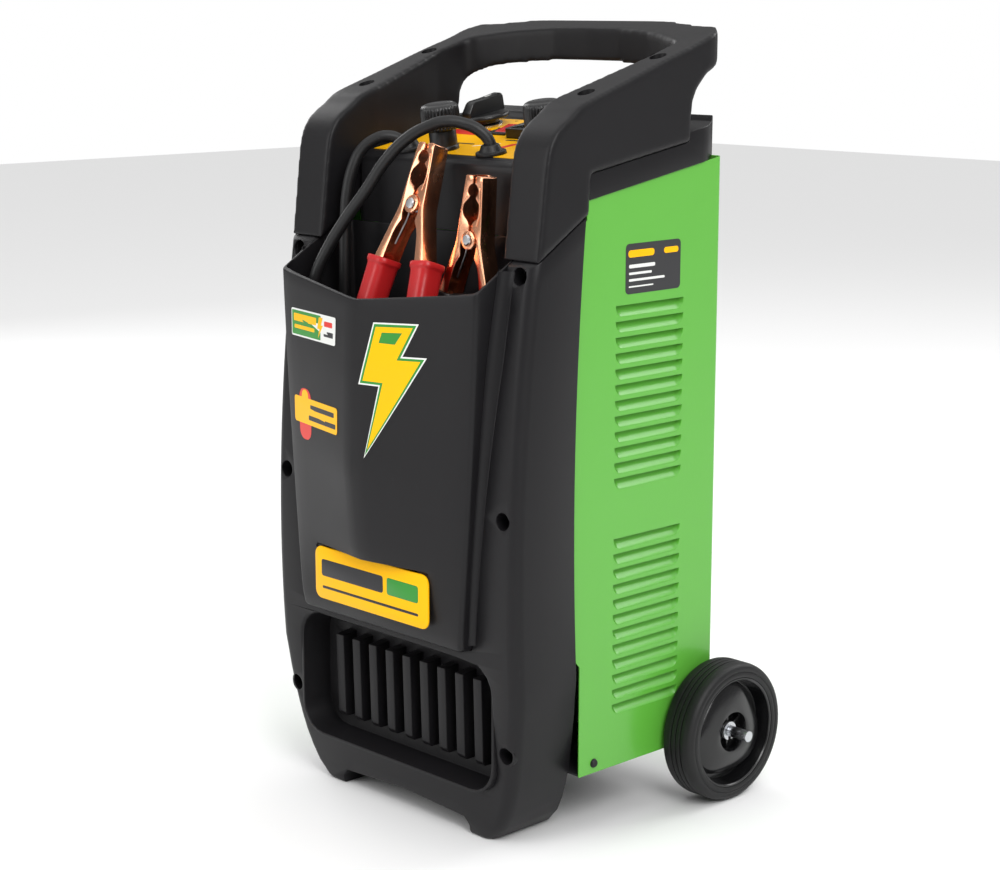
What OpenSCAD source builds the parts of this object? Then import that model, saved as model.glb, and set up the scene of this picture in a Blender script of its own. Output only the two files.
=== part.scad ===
// Wheeled starter charger for 12 and 24 volt batteries.
// A steel case on two wheels carries a moulded front shell with a storage bin,
// a sloping control deck and a two-part loop handle. Millimetres, +Z up, front towards -Y.
// Depths inside the modules are counted back from the flange plane of the front shell.

/* [Case] */
// Width over the steel side panels
case_w = 304; // [280:1:370]
// Depth from the flange plane to the back of the case
case_d = 251; // [245:1:305]
// Height of the side panels at their rear edge
side_h = 570; // [480:1:690]
// Height of the case floor above the ground
floor_h = 52; // [48:1:56]
// Thickness of the steel sheet
sheet_t = 1.2; // [0.8:0.1:2]
// Slope of the control deck in degrees
deck_slope = 9.7; // [7:0.1:12]
// Height of the moulded band over each side panel
band_h = 21.5; // [18:0.5:26]

/* [Mouldings] */
// Wall of the moulded parts
wall = 3; // [2.5:0.1:3.6]
// How far the front shell stands out past each side panel
shell_lap = 4; // [4:0.1:6]
// Radius of the gentle forward bulge of the shell
bulge_r = 1618; // [1300:1:2200]
// Height at which the bulge stands furthest forward
bulge_z = 233; // [190:1:280]
// Radius of the recess over each screw
recess_r = 6.5; // [5:0.1:7]

/* [Storage bin] */
// Half width of the bin at its rim
bin_half = 125; // [108:1:130]
// Height of the lower edge of the bin
bin_low = 172; // [168:1:190]
// How far the middle of the bin stands out in front
prow = 41; // [34:1:49]
// Depth of the bin's back wall behind the flange plane
bin_back = 68; // [64:1:70]

/* [Grille] */
// Number of upright slats
slat_n = 9; // [7:1:10]
// Distance between slats
slat_pitch = 22.7; // [18:0.1:24]
// Width of one slat
slat_w = 10; // [8:0.5:12]

/* [Louvres] */
// Louvres in one group
louvre_n = 12; // [9:1:12]
// Distance between louvres
louvre_pitch = 13.3; // [11:0.1:13.5]
// Length of one louvre
louvre_l = 84; // [70:1:100]

/* [Handle] */
// Width of the loop bar seen from above
loop_w = 28; // [24:1:34]
// Height of the loop's top above the case's rear edge
loop_rise = 113; // [100:1:130]

/* [Wheels] */
// Wheel diameter over the tyre
wheel_d = 125; // [105:1:150]
// Tyre width
tyre_w = 34; // [28:1:40]
// Distance from the axle to the back of the case
axle_inset = 8.5; // [8:0.5:12]
// Axle diameter
axle_d = 10; // [8:0.1:12]
// How far the axle stands out past the tyre
axle_out = 14.5; // [12:0.5:20]
// Radial clearance of every running fit
run_gap = 0.05; // [0.03:0.01:0.09]

/* [Controls] */
// Diameter of the fluted terminal knobs
knob_d = 34; // [28:0.5:40]
// Height of the fluted cap
knob_h = 21; // [18:0.5:26]
// Diameter of the selector's flange
selector_d = 46; // [38:1:50]
// Width and depth of the ammeter's face
meter_w = 56; // [46:1:64]
// Width of the rocker switch
rocker_w = 15; // [13:0.5:18]

/* [Clamps and leads] */
// Diameter of the charging leads
lead_d = 10.5; // [9:0.1:12.5]
// Jaw length from the rivet to the tips
jaw_l = 53; // [45:1:62]
// Width of the pressed channel of the clamps
clamp_w = 20; // [17:0.5:22]
// Length of the vinyl grips
grip_l = 75; // [62:1:80]
// Diameter of the rivets
rivet_d = 6; // [5:0.1:7]

/* [Inside] */
// Width of the transformer core
core_w = 180; // [150:1:214]
// Thickness of the transformer core stack
core_t = 80; // [66:1:84]
// Side of the square fan
fan_w = 120; // [100:1:142]

/* [Hidden] */
$fn = 48;
gap = 0.3;            // between pieces that only come close
seat = 0.1;           // between a piece and what it rests on
axle_y = case_d - axle_inset;
mid_y = (axle_y + wheel_d / 2 - prow) / 2;
bin_side = bin_half + case_w / 2 - 152; // the bin keeps its distance from the handle's arms
shell_half = case_w / 2 + shell_lap;
screw_x = (bin_side + shell_half) / 2 - 0.5;
cover_half = case_w / 2 + 2;
slope = tan(deck_slope);
shoulder = 0.62;      // slope of the bin's mouth and of the shell's shoulders
panel_y = 58;         // front flange of the side panels
floor_y = 80;         // front edge of the side panels near the floor
arm_back = 84;        // where the arms meet the band
wheel_in = case_w / 2 + 3;
wheel_z = wheel_d / 2;
tyre_t = wheel_d * 0.1;
hub_sink = 9;
axle_half = wheel_in + tyre_w + axle_out;
deck_rise = band_h + 8.5;
arm_in = case_w / 2 - 37;
fan_z = 330;
fan_screw = fan_w * 0.4375; // half the distance between the fan's screws
copper = "#c77b58";
black = "#1f2023";

// Height of a side panel's top edge at a depth
function side_top(y) = side_h - (case_d - y) * slope;
// Height of the control deck at a depth
function deck(y) = side_top(y) + deck_rise;
// Height of the plane that cuts the bin's mouth and the shell's shoulders
function rim(y) = side_top(0) - 48.4 + shoulder * y;
// Depth of the shell's front face and of its rear edge at a height
function bulge(z, r, z0) = r - sqrt(r * r - pow(z - z0, 2));
function face_y(z) = bulge(z, bulge_r, bulge_z);
function back_y(z) = 69 + bulge(z, bulge_r * 1.4, bulge_z + 32);
// Half width of the bin at a height
function bin_w(z) = bin_side - 21.5 * pow(max(0, rim(25) - z) / (rim(25) - bin_low), 1.4);
// A point at an angle on a circle
function polar(r, a) = [r * cos(a), r * sin(a)];
function both_sides(pts) = concat(pts, [for (i = [len(pts) - 1:-1:0]) [-pts[i].x, pts[i].y]]);

module place() translate([0, -mid_y, 0]) children();
// Carries a [y, z] outline across the width from x0 to x1
module across(x0, x1) translate([x0, 0, 0]) rotate([90, 0, 90]) linear_extrude(x1 - x0) children();
// Carries an [x, z] outline from depth y0 to y1
module along(y0, y1) translate([0, y1, 0]) rotate([90, 0, 0]) linear_extrude(y1 - y0) children();
// A round bar or hole that runs from depth y0 to y1
module along_round(x, z, r, y0, y1) translate([x, y1, z]) rotate([90, 0, 0]) cylinder(r = r, h = y1 - y0);
// A round bar or hole that runs across from x0 to x1
module across_round(y, z, r, x0, x1) translate([x0, y, z]) rotate([0, 90, 0]) cylinder(r = r, h = x1 - x0);
// Stands its children on the control deck
module on_deck(x, y, lift = 0) translate([x, y, deck(y)]) rotate([deck_slope, 0, 0])
    translate([0, 0, lift]) children();
module box(x0, x1, y0, y1, z0, z1) translate([x0, y0, z0]) cube([x1 - x0, y1 - y0, z1 - z0]);
module rounded(w, h, r) {
    square([w - 2 * r, h], center = true);
    square([w, h - 2 * r], center = true);
    for (x = [-1, 1], y = [-1, 1]) translate([x * (w / 2 - r), y * (h / 2 - r)]) circle(r);
}
module ring(r_out, r_in, h) difference() {
    cylinder(r = r_out, h = h);
    translate([0, 0, -1]) cylinder(r = r_in, h = h + 2);
}

// ---- front shell ----
grille_z = 104;
grille_h = 112;
shell_zs = [for (i = [0:10]) i / 10];
// Depth at which the shell's front face meets the plane of its shoulders
function seam_y(y = 20, n = 8) = n == 0 ? y : seam_y(face_y(rim(y)), n - 1);
screw_zs = [86, rim(0) * 0.6, rim(0) + 6];
function shell_front(d) = [[shell_half - 47 - d, d], [shell_half - 32 - d, 14 + d],
    [shell_half - 12 - d, 67], [shell_half - 6 - d, 114],
    [shell_half - d, 150], [shell_half - d, side_h]];
module shell_block() intersection() {
    across(-shell_half, shell_half) polygon(concat(
        [for (t = shell_zs) let (z = t * rim(seam_y())) [face_y(z), z]],
        [[arm_back, rim(arm_back)]],
        [for (t = [for (i = [0:8]) 1 - i / 8]) let (z = t * rim(arm_back)) [back_y(z), z]]));
    along(-1, arm_back + 20) polygon(both_sides(shell_front(0)));
}
module shell_void() intersection() {
    across(-shell_half, shell_half) polygon(concat(
        [for (t = shell_zs) let (z = 22 + t * (rim(seam_y() + 1.2) - 26)) [face_y(z) + wall, z]],
        [[arm_back + 20, rim(arm_back + 20) - wall * 1.2], [arm_back + 20, 22]]));
    along(-1, arm_back + 20) polygon(both_sides(shell_front(wall)));
}
module grille_well(grow, deep) along(-1, deep) translate([0, grille_z])
    rounded(2 * (shell_half - 32 + grow), grille_h + 2 * grow, 25);
module grille() {
    difference() {
        intersection() {
            grille_well(wall, 38);
            along(6, 38) translate([0, grille_z]) square([2 * shell_half, grille_h * 2], center = true);
        }
        grille_well(0, 35);
        for (i = [0:slat_n]) let (x = (i - slat_n / 2) * slat_pitch)
            box(x - (slat_pitch - slat_w) / 2, x + (slat_pitch - slat_w) / 2, 30, 40, 66, 132);
    }
    for (i = [0:slat_n - 1]) let (x = (i - (slat_n - 1) / 2) * slat_pitch)
        box(x - slat_w / 2, x + slat_w / 2, 22, 36, 62, 140);
    across(44 - shell_half, shell_half - 44) polygon([[8, grille_z - grille_h / 2],
        [36, grille_z - grille_h / 2], [36, grille_z - grille_h / 2 + 17]]);
}
module boss(x, z) along_round(x, z, recess_r + 2.5, face_y(z) + 1, panel_y - 0.2);
module front_shell() color(black) place() {
    difference() {
        union() {
            difference() {
                shell_block();
                shell_void();
                along(-5, 40) polygon(both_sides([for (t = [0:5]) let (z = bin_low - gap + t * 70)
                    [bin_w(min(z, rim(25))) + gap, z]]));
                grille_well(0.1, 20);
                box(70 - shell_half, shell_half - 70, -5, 120, -1, 17);
                box(-bin_side - gap, bin_side + gap, 18, 100, rim(0) - 90, side_h);
            }
            intersection() {
                shell_block();
                for (x = [-1, 1], z = screw_zs) boss(x * (z < 100 ? screw_x - 2 : screw_x), z);
            }
            grille();
        }
        for (s = [-1, 1], z = screw_zs) let (x = s * (z < 100 ? screw_x - 2 : screw_x)) {
            along_round(x, z, recess_r, -5, panel_y - 6);
            along_round(x, z, 2.2, 0, panel_y + 1);
        }
    }
}

// ---- storage bin ----
// One V-shaped slice of the bin's outside at a height, drawn d inside it
module bin_slice(z, tip, corner, d) translate([0, 0, z]) linear_extrude(0.5)
    polygon(both_sides([[0, tip + d], [bin_w(z) - d, corner + d], [bin_w(z) - d, bin_back - d]]));
module bin_hull(d, z0) hull() {
    bin_slice(z0, -16 - (z0 - bin_low) * 0.9, -12, d);
    bin_slice(z0 + 80, 6 - prow, -13, d);
    bin_slice(320, -prow, -14, d);
    bin_slice(rim(25), 7 - prow, -13, d);
    bin_slice(rim(60), 8 - prow, -13, d);
}
module storage_bin() color(black) place() difference() {
    union() {
        difference() {
            bin_hull(0, bin_low);
            bin_hull(wall, 193);
        }
        intersection() {
            bin_hull(0, bin_low);
            along(-prow, -14) translate([0, badge_z]) rounded(badge_w + 6, badge_h + 6, 8);
        }
    }
    across(-200, 200) polygon([[-prow - 9, rim(-prow - 9)], [110, rim(110)], [110, 700], [-prow - 9, 700]]);
    box(-200, 200, bin_back - wall - 1, bin_back + 1, side_top(0) - 19, 700);
    badge_pocket(0.3);
}

// ---- badge ----
badge_w = 148;
badge_h = 47;
badge_z = 209.5;
module badge_pocket(grow) along(-prow - 5, -20) translate([0, badge_z])
    rounded(badge_w + 2 * grow, badge_h + 2 * grow, 8);
module badge_plate() color("#f5a800") place() along(-22, -20) translate([0, badge_z])
    rounded(badge_w, badge_h, 8);

// ---- top cover ----
// Inner faces of the handle's arms in plan, moved in by d
function arm_line(d) = [[arm_in - d, 0], [arm_in - d, 90], [arm_in + 5 - d, 120], [arm_in + 11 - d, 156],
    [arm_in + 16 - d, 180], [arm_in + 14 - d, case_d - 44]];
module arm_plan(d) polygon(both_sides(concat(arm_line(d), [[arm_in + 12 - d, case_d + 60]])));
module cover_solid(d) {
    back = case_d + 1.5 - d;
    intersection() {
        union() {
            across(-cover_half + d, cover_half - d) polygon([
                [arm_back + d, side_top(arm_back) + seat - d * 2],
                [arm_back + d, side_top(arm_back) + band_h - d], [206 + d, side_top(206) + band_h - d],
                [206 + d, deck(206) - d], [back - 9, deck(back - 9) - d], [back - 9, deck(back) + 4 - d],
                [back, deck(back) + 2 - d], [back, side_top(back) + seat - d * 2]]);
            intersection() {
                across(-cover_half, cover_half) polygon([
                    [bin_back - wall + d, side_top(0) - 19 + gap - d * 2],
                    [bin_back - wall + d, deck(0) - 1], [bin_back + 1 + d, deck(0) + 7 - d],
                    [bin_back + 12 + d, deck(bin_back + 12) - d], [case_d - 10, deck(case_d - 10) - d],
                    [case_d - 10, side_top(case_d - 10)],
                    [bin_back + d + wall, side_top(0) - 19 + gap - d * 2]]);
                linear_extrude(side_h + 100) arm_plan(gap + d);
            }
        }
        linear_extrude(side_h + 100) polygon(both_sides([[cover_half - d, 0], [cover_half - d, case_d - 22],
            [cover_half - 14 - d * 0.5, back]]));
    }
}
module top_cover() color(black) place() difference() {
    cover_solid(0);
    difference() {
        cover_solid(wall);
        box(-200, 200, 0, bin_back + wall, 0, side_top(0) - 19 + gap);
    }
    for (p = terminal_at) on_deck(p.x, p.y, -20) cylinder(r = 5.2, h = 30);
    for (p = grommet_at) on_deck(p.x, p.y, -20) cylinder(r = lead_d / 2 + 3, h = 30);
    on_deck(selector_at.x, selector_at.y, -20) cylinder(r = 4.2, h = 30);
    on_deck(reset_at.x, reset_at.y, -20) cylinder(r = 6.1, h = 30);
    on_deck(rocker_at.x, rocker_at.y, -20) translate([0, 0, 15])
        cube([rocker_w + 4.4, 25.4, 30], center = true);
    on_deck(meter_at.x, meter_at.y, -20) cylinder(r = meter_w * 0.42 + 0.3, h = 30);
}

// ---- deck fittings ----
terminal_at = [[-30, 95], [arm_in - 47, 123]];
grommet_at = [[34, 90], [-66, 86]];
selector_at = [40 - arm_in, 186];
reset_at = [arm_in - 27, 168];
rocker_at = [-27, 168];
meter_at = [arm_in - 93, 172];
label_t = 0.4;
meter_h = 9;
module panel_overlay() color("#f2a516") place() difference() {
    on_deck(0, 0) translate([0, 0, 0.05]) linear_extrude(label_t) polygon(both_sides(
        [[arm_in - 5, 82], [arm_in - 3, 120], [arm_in + 4, 170], [arm_in + 8, 212]]));
    for (p = terminal_at) on_deck(p.x, p.y, -20) cylinder(r = 13.3, h = 30);
    for (p = grommet_at) on_deck(p.x, p.y, -20) cylinder(r = lead_d / 2 + 8.3, h = 30);
    on_deck(selector_at.x, selector_at.y, -20) cylinder(r = 16.3, h = 30);
    on_deck(reset_at.x, reset_at.y, -20) cylinder(r = 9.3, h = 30);
    on_deck(rocker_at.x, rocker_at.y, -5) linear_extrude(30) square([rocker_w + 8.6, 31.6], center = true);
    on_deck(meter_at.x, meter_at.y, -5) linear_extrude(30)
        square([meter_w + 2 * gap, meter_w + 2 * gap], center = true);
}
module cable_grommets() color("#141416") place() for (p = grommet_at) on_deck(p.x, p.y) difference() {
    union() {
        translate([0, 0, -6]) cylinder(r = lead_d / 2 + 2.9, h = 7);
        translate([0, 0, seat]) cylinder(r = lead_d / 2 + 8, h = 3);
        translate([0, 0, 3]) cylinder(r1 = lead_d / 2 + 5, r2 = lead_d / 2 + 2.2, h = 6);
    }
    translate([0, 0, -8]) cylinder(r = lead_d / 2 + 0.05, h = 20);
}
module terminal_collars() color(black) place() for (p = terminal_at) on_deck(p.x, p.y, seat) difference() {
    union() {
        cylinder(r = 12, h = 18);
        cylinder(r = 13, h = 4);
    }
    translate([0, 0, -1]) cylinder(r = 5.1, h = 30);
}
module terminal_studs() color("#c9a34a") place() for (p = terminal_at) on_deck(p.x, p.y) {
    translate([0, 0, -28]) cylinder(r = 5, h = 62);
    translate([0, 0, -10]) cylinder(r = 9, h = 5, $fn = 6);
}
function flute(r, n, deep) = [for (i = [0:n * 3 - 1]) polar(i % 3 == 0 ? r - deep : r, i * 120 / n)];
module terminal_knob(p) on_deck(p.x, p.y) difference() {
    union() {
        translate([0, 0, 18 + gap + seat]) linear_extrude(knob_h) polygon(flute(knob_d / 2, 32, 0.9));
        translate([0, 0, 18 + gap + knob_h]) cylinder(r1 = knob_d / 2 - 1, r2 = knob_d / 2 - 2.5, h = 1.8);
    }
    translate([0, 0, 17]) cylinder(r = 5 + run_gap, h = 19);
}
module terminal_knob_left() color("#232427") place() terminal_knob(terminal_at[0]);
module terminal_knob_right() color("#232427") place() terminal_knob(terminal_at[1]);
module selector_switch() color("#3a3b3f") place() on_deck(selector_at.x, selector_at.y) {
    translate([0, 0, -wall - 28]) linear_extrude(27) square(46, center = true);
    translate([0, 0, -wall - 2]) cylinder(r = 4, h = wall + 3);
    translate([0, 0, -wall - 2]) cylinder(r = 3, h = 20);
    translate([0, 0, seat]) ring(16, 3.5, 2);
}
module selector_knob() color(black) place() on_deck(selector_at.x, selector_at.y, 2.6) difference() {
    union() {
        translate([0, 0, 5]) cylinder(r1 = selector_d / 2, r2 = selector_d / 2 - 1, h = 4);
        cylinder(r = 13, h = 6);
        translate([0, 0, 16]) cube([11, selector_d - 2, 16], center = true);
    }
    translate([0, 0, -1]) cylinder(r = 3 + run_gap, h = 17);
    translate([0, selector_d / 2, 30]) rotate([14, 0, 0]) cube([20, 30, 12], center = true);
    translate([0, -selector_d / 2, 25]) rotate([-28, 0, 0]) cube([20, 30, 12], center = true);
}
module ammeter_body() color("#17181a") place() on_deck(meter_at.x, meter_at.y, seat) difference() {
    union() {
        translate([0, 0, label_t / 2]) linear_extrude(meter_h) rounded(meter_w, meter_w, 3);
        translate([0, 0, -24]) cylinder(r = meter_w * 0.42, h = 26);
    }
    translate([0, 0, meter_h - 5]) linear_extrude(10) rounded(meter_w - 6, meter_w - 6, 2);
}
module ammeter_lens() color([0.8, 0.9, 0.95, 0.4]) place() on_deck(meter_at.x, meter_at.y, seat)
    translate([0, 0, meter_h - 1.4]) linear_extrude(1.4) rounded(meter_w - 6.2, meter_w - 6.2, 2);
module ammeter_needle() color("#c0261c") place() on_deck(meter_at.x, meter_at.y, seat)
    translate([0, -meter_w * 0.28, meter_h - 4.4]) rotate([0, 0, 45]) {
        cylinder(r = 2.2, h = 1);
        translate([-0.4, 0, 0.3]) cube([0.8, meter_w * 0.58, 0.5]);
    }
module rocker_frame() color("#101113") place() on_deck(rocker_at.x, rocker_at.y, seat) difference() {
    union() {
        translate([0, 0, 1.25]) cube([rocker_w + 8, 31, 2.5], center = true);
        translate([0, 0, -9]) cube([rocker_w + 4, 25, 20], center = true);
    }
    translate([0, 0, 0]) cube([rocker_w + 0.8, 21.8, 18], center = true);
}
module rocker() color("#b3201a") place() on_deck(rocker_at.x, rocker_at.y, seat) rotate([0, 90, 0])
    translate([0, 0, -rocker_w / 2]) linear_extrude(rocker_w)
        polygon([[-2, -9.6], [-3.6, 0], [-5.2, 9.6], [2, 8], [5, 0], [2, -8]]);
module reset_bezel() color("#9a9da1") place() on_deck(reset_at.x, reset_at.y, seat) {
    ring(9, 5, 3);
    translate([0, 0, -12]) ring(6, 5, 13);
}
module reset_button() color("#d8d8d6") place() on_deck(reset_at.x, reset_at.y, seat) {
    translate([0, 0, -10]) cylinder(r = 5 - run_gap, h = 15);
    translate([0, 0, 5]) cylinder(r1 = 5 - run_gap, r2 = 4, h = 1);
}

// ---- handle ----
top_z = side_h + loop_rise;
function arm_side(down, front, rear) = [
    [25 + front, rim(25 + front) + seat], [29 + front, rim(25) + 31], [35 + front, side_top(0) + 47 - down],
    [40.5 + front, side_top(0) + 64 - down], [50 + front * 0.7, side_top(0) + 75 - down],
    [64, side_top(0) + 84 - down], [77, side_top(0) + 93 - down], [113, side_top(0) + 105 - down],
    [146, side_top(0) + 116.5 - down], [180, top_z - 28 - down], [case_d - 36, top_z - 17 - down],
    [case_d - 18, top_z - 10 - down], [case_d - 1, top_z - 3 - down], [case_d + 8 - rear, top_z - down],
    [case_d + 16 - rear, top_z - 5 - down], [case_d + 18 - rear, top_z - 24 - down * 0.3],
    [case_d - 8, top_z - 35], [case_d - 27, top_z - 44], [case_d - 39, top_z - 56],
    [206, side_top(206) + 46],
    [206, side_top(206) + band_h + seat], [arm_back, side_top(arm_back) + band_h + seat],
    [arm_back, rim(arm_back) + seat]];
module handle_plan() {
    half = shell_half + 1;
    difference() {
        polygon(both_sides([[half, 20], [half, case_d - 19], [half - 14, case_d - 8], [half - 37, case_d],
            [89, case_d + 7], [50, case_d + 13], [0, case_d + 17]]));
        polygon(both_sides(concat(arm_line(0), [[arm_in - 2, case_d - 30],
            [79, case_d + 13 - loop_w - 3], [40, case_d + 17 - loop_w], [0, case_d + 17 - loop_w]])));
    }
}
module handle_solid(down, front, rear, side) intersection() {
    across(-side, side) polygon(arm_side(down, front, rear));
    linear_extrude(top_z + 10) handle_plan();
}
module handle_inner() handle_solid(16, 9, 6, shell_half - 9);
module handle_recesses() for (s = [-1, 1], p = handle_screw_at) translate([s * p.x, p.y, p.z - 10]) {
    cylinder(r = recess_r + 0.7, h = 60);
    translate([0, 0, -30]) cylinder(r = 2.1, h = 40);
}
handle_screw_at = [[case_w / 2 - 15, 98, side_top(0) + 99.5], [case_w / 2 - 10, 178, top_z - 28.5]];
module handle_upper() color(black) place() difference() {
    handle_solid(0, 0, 0, shell_half + 1);
    handle_inner();
    handle_recesses();
}
module handle_lower() color("#17181a") place() difference() {
    handle_inner();
    for (s = [-1, 1], p = handle_screw_at) translate([s * p.x, p.y, p.z - 40]) cylinder(r = 2.1, h = 60);
}
module handle_screws() color("#8d9094") place() for (s = [-1, 1], p = handle_screw_at)
    translate([s * p.x, p.y, p.z - 10]) {
        translate([0, 0, 0.05]) cylinder(r = 4.2, h = 3);
        translate([0, 0, -24]) cylinder(r = 2, h = 25);
    }

// ---- steel case ----
louvre_back = 204;    // where the louvres end near the back
function louvre_tops() = [side_h - 117.5, side_h - 316];
// Outline of a side panel: it keeps under the shell's shoulders, and near the floor its front
// edge steps back behind the narrowing shell
panel_step = max(arm_back + 1, back_y(rim(arm_back)) + 0.35);
function panel_line(back) = [[floor_y, floor_h], [back, floor_h], [back, side_top(back)],
    [panel_step, side_top(panel_step)], [panel_step, rim(arm_back) - 5], [panel_y, rim(panel_y) - 5],
    [panel_y, 175], [floor_y, 150]];
module side_panel() {
    bend = 3;
    difference() {
        union() {
            intersection() {
                linear_extrude(side_h) union() {
                    translate([case_w / 2 - sheet_t, panel_y]) square([sheet_t, case_d - bend - panel_y]);
                    translate([case_w / 2 - bend, case_d - bend]) intersection() {
                        difference() {
                            circle(bend);
                            circle(bend - sheet_t);
                        }
                        square(bend + 1);
                    }
                    translate([case_w / 2 - 22, case_d - sheet_t]) square([22 - bend, sheet_t]);
                    translate([bin_side + 1.5, panel_y]) square([case_w / 2 - bin_side - 1.5, sheet_t]);
                }
                across(0, case_w) polygon(panel_line(case_d));
            }
            for (top = louvre_tops(), i = [0:louvre_n - 1]) translate([0, 0, top - i * louvre_pitch])
                along(louvre_back - louvre_l, louvre_back) polygon([[case_w / 2 - sheet_t, -9],
                    [case_w / 2 - sheet_t / 2, -9], [case_w / 2 - 5, -1], [case_w / 2 - 6, -1]]);
        }
        for (top = louvre_tops(), i = [0:louvre_n - 1])
            box(case_w / 2 - 2, case_w / 2 + 1, louvre_back - louvre_l, louvre_back,
                top - i * louvre_pitch - 4, top - i * louvre_pitch);
        across_round(axle_y, wheel_z, axle_d / 2 + 0.3, case_w / 2 - 9, case_w / 2 + 9);
        for (p = panel_screw_at) across_round(p.x, p.y, 2.1, case_w / 2 - 9, case_w / 2 + 9);
        for (z = screw_zs) along_round(screw_x, z, 1.9, panel_y - 1, panel_y + 9);
    }
}
panel_screw_at = [[98, 61], [205, 61]];
module side_panel_right() color("#4fae3e") place() side_panel();
module side_panel_left() color("#4fae3e") place() mirror([1, 0, 0]) side_panel();
module rear_panel() color("#4fae3e") place() {
    y = case_d - 2 * sheet_t;
    half = case_w / 2 - sheet_t;
    difference() {
        intersection() {
            along(y, y + sheet_t) polygon(both_sides([[half - 4, floor_h + 1.5], [half - 4, side_top(y)]]));
            box(-half, half, y - 1, y + 9, 0, side_h + 100);
        }
        difference() {
            for (k = [1:4]) difference() {
                along_round(0, fan_z, k * 12.5 + 4, y - 1, y + 9);
                along_round(0, fan_z, k * 12.5 - 3, y - 2, y + 10);
            }
            for (a = [0:45:135]) translate([0, y, fan_z]) rotate([0, a, 0])
                cube([4, 30, 140], center = true);
        }
        for (x = [-1, 1], z = [-1, 1])
            along_round(x * fan_screw, fan_z + z * fan_screw, 2.2, y - 1, y + 9);
        along_round(gland_at.x, gland_at.y, 10.2, y - 1, y + 9);
    }
}
gland_at = [90, 150];
module base_plate() color("#3c3e42") place() {
    half = case_w / 2 - sheet_t;
    front_half = shell_half - 22;
    difference() {
        union() {
            box(-half, half, floor_y + 2, case_d - 5, floor_h, floor_h + 1.5);
            box(-half + 6, half - 6, case_d - 6, case_d - 2 * sheet_t - 0.2, floor_h, floor_h + 1.5);
            box(-front_half, front_half, panel_y, floor_y + 3, floor_h, floor_h + 1.5);
            along(panel_y, panel_y + 1.5) polygon(both_sides([[front_half, floor_h], [front_half, 60],
                [front_half + 7, 80], [front_half + 7, 98]]));
            for (s = [0, 1]) mirror([s, 0, 0]) box(half - 1.5, half, 88, 215, floor_h, floor_h + 18);
            for (s = [-1, 1]) let (x = s * (half - 19))
                box(x - 2, x + 2, axle_y - 14, case_d - 3.5, floor_h, wheel_z + 16);
        }
        across_round(axle_y, wheel_z, axle_d / 2 + run_gap, -case_w, case_w);
        for (s = [0, 1], p = panel_screw_at) mirror([s, 0, 0])
            across_round(p.x, p.y, 1.7, half - 9, half + 1);
        for (s = [-1, 1]) along_round(s * (screw_x - 2), screw_zs[0], 1.9, panel_y - 1, panel_y + 9);
        for (x = [-60:20:60]) box(x - 4, x + 4, 205, 232, floor_h - 1, floor_h + 5);
    }
}
module panel_screws() color("#1b1b1d") place() for (s = [0, 1], p = panel_screw_at) mirror([s, 0, 0]) {
    translate([case_w / 2 + 0.05, p.x, p.y]) rotate([0, 90, 0]) cylinder(r1 = 4.2, r2 = 3, h = 2.2);
    across_round(p.x, p.y, 1.6, case_w / 2 - 8, case_w / 2 + 0.5);
}
module shell_screws() color("#8d9094") place() for (s = [-1, 1], z = screw_zs)
    let (x = s * (screw_x - (z < 100 ? 2 : 0))) {
        along_round(x, z, 4.2, panel_y - 9.1, panel_y - 6.1);
        along_round(x, z, 1.8, panel_y - 8, panel_y + 8);
    }
module mains_gland() color("#141416") place() difference() {
    y = case_d - 2 * sheet_t;
    union() {
        along_round(gland_at.x, gland_at.y, 10, y - 10, y + sheet_t + 8);
        along_round(gland_at.x, gland_at.y, 13, y + sheet_t + seat, y + sheet_t + 6);
        along_round(gland_at.x, gland_at.y, 13, y - 7, y - seat);
    }
    along_round(gland_at.x, gland_at.y, 5, y - 20, y + 20);
}

// ---- wheels ----
module axle() color("#b9bcc0") place() difference() {
    across_round(axle_y, wheel_z, axle_d / 2, -axle_half, axle_half);
    for (s = [0, 1]) mirror([s, 0, 0]) translate([wheel_in + tyre_w - hub_sink + 0.4, axle_y, wheel_z])
        rotate([0, 90, 0]) ring(axle_d, axle_d / 2 - 1, 1.4);
}
module axle_clips() color("#8d9094") place() for (s = [0, 1]) mirror([s, 0, 0])
    translate([wheel_in + tyre_w - hub_sink + 0.5, axle_y, wheel_z]) rotate([0, 90, 0]) difference() {
        ring(axle_d / 2 + 3.5, axle_d / 2 - 0.95, 1.2);
        translate([0, -2, -1]) cube([20, 4, 4]);
    }
rim_r = wheel_d / 2 - tyre_t;
module wheel() translate([wheel_in, axle_y, wheel_z]) rotate([90, 0, 90]) difference() {
    rotate_extrude() polygon([[axle_d / 2 + run_gap, 2], [16, 2], [18, tyre_w / 2 - 2],
        [rim_r - 6, tyre_w / 2 - 3], [rim_r - 4, 2], [rim_r, 2], [rim_r, tyre_w - 2],
        [rim_r - 4, tyre_w - 2], [rim_r - 9, tyre_w / 2 + 2], [rim_r - 18, tyre_w / 2 + 3],
        [18, tyre_w - hub_sink + 3], [12, tyre_w - hub_sink + 3], [11, tyre_w - hub_sink],
        [axle_d / 2 + run_gap, tyre_w - hub_sink]]);
    for (a = [30:120:270]) rotate([0, 0, a]) translate([rim_r - 13, 0, tyre_w / 2 + 3])
        cylinder(r = 9, h = 20);
}
module tyre() translate([wheel_in, axle_y, wheel_z]) rotate([90, 0, 90])
    rotate_extrude() polygon([[rim_r + 0.02, 0], [wheel_d / 2 - 4, 0], [wheel_d / 2 - 1, 2],
        [wheel_d / 2, 6], [wheel_d / 2, tyre_w - 6], [wheel_d / 2 - 1, tyre_w - 2],
        [wheel_d / 2 - 4, tyre_w], [rim_r + 0.02, tyre_w]]);
module wheel_right() color("#141416") place() wheel();
module wheel_left() color("#141416") place() mirror([1, 0, 0]) wheel();
module tyre_right() color("#232326") place() tyre();
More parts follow.
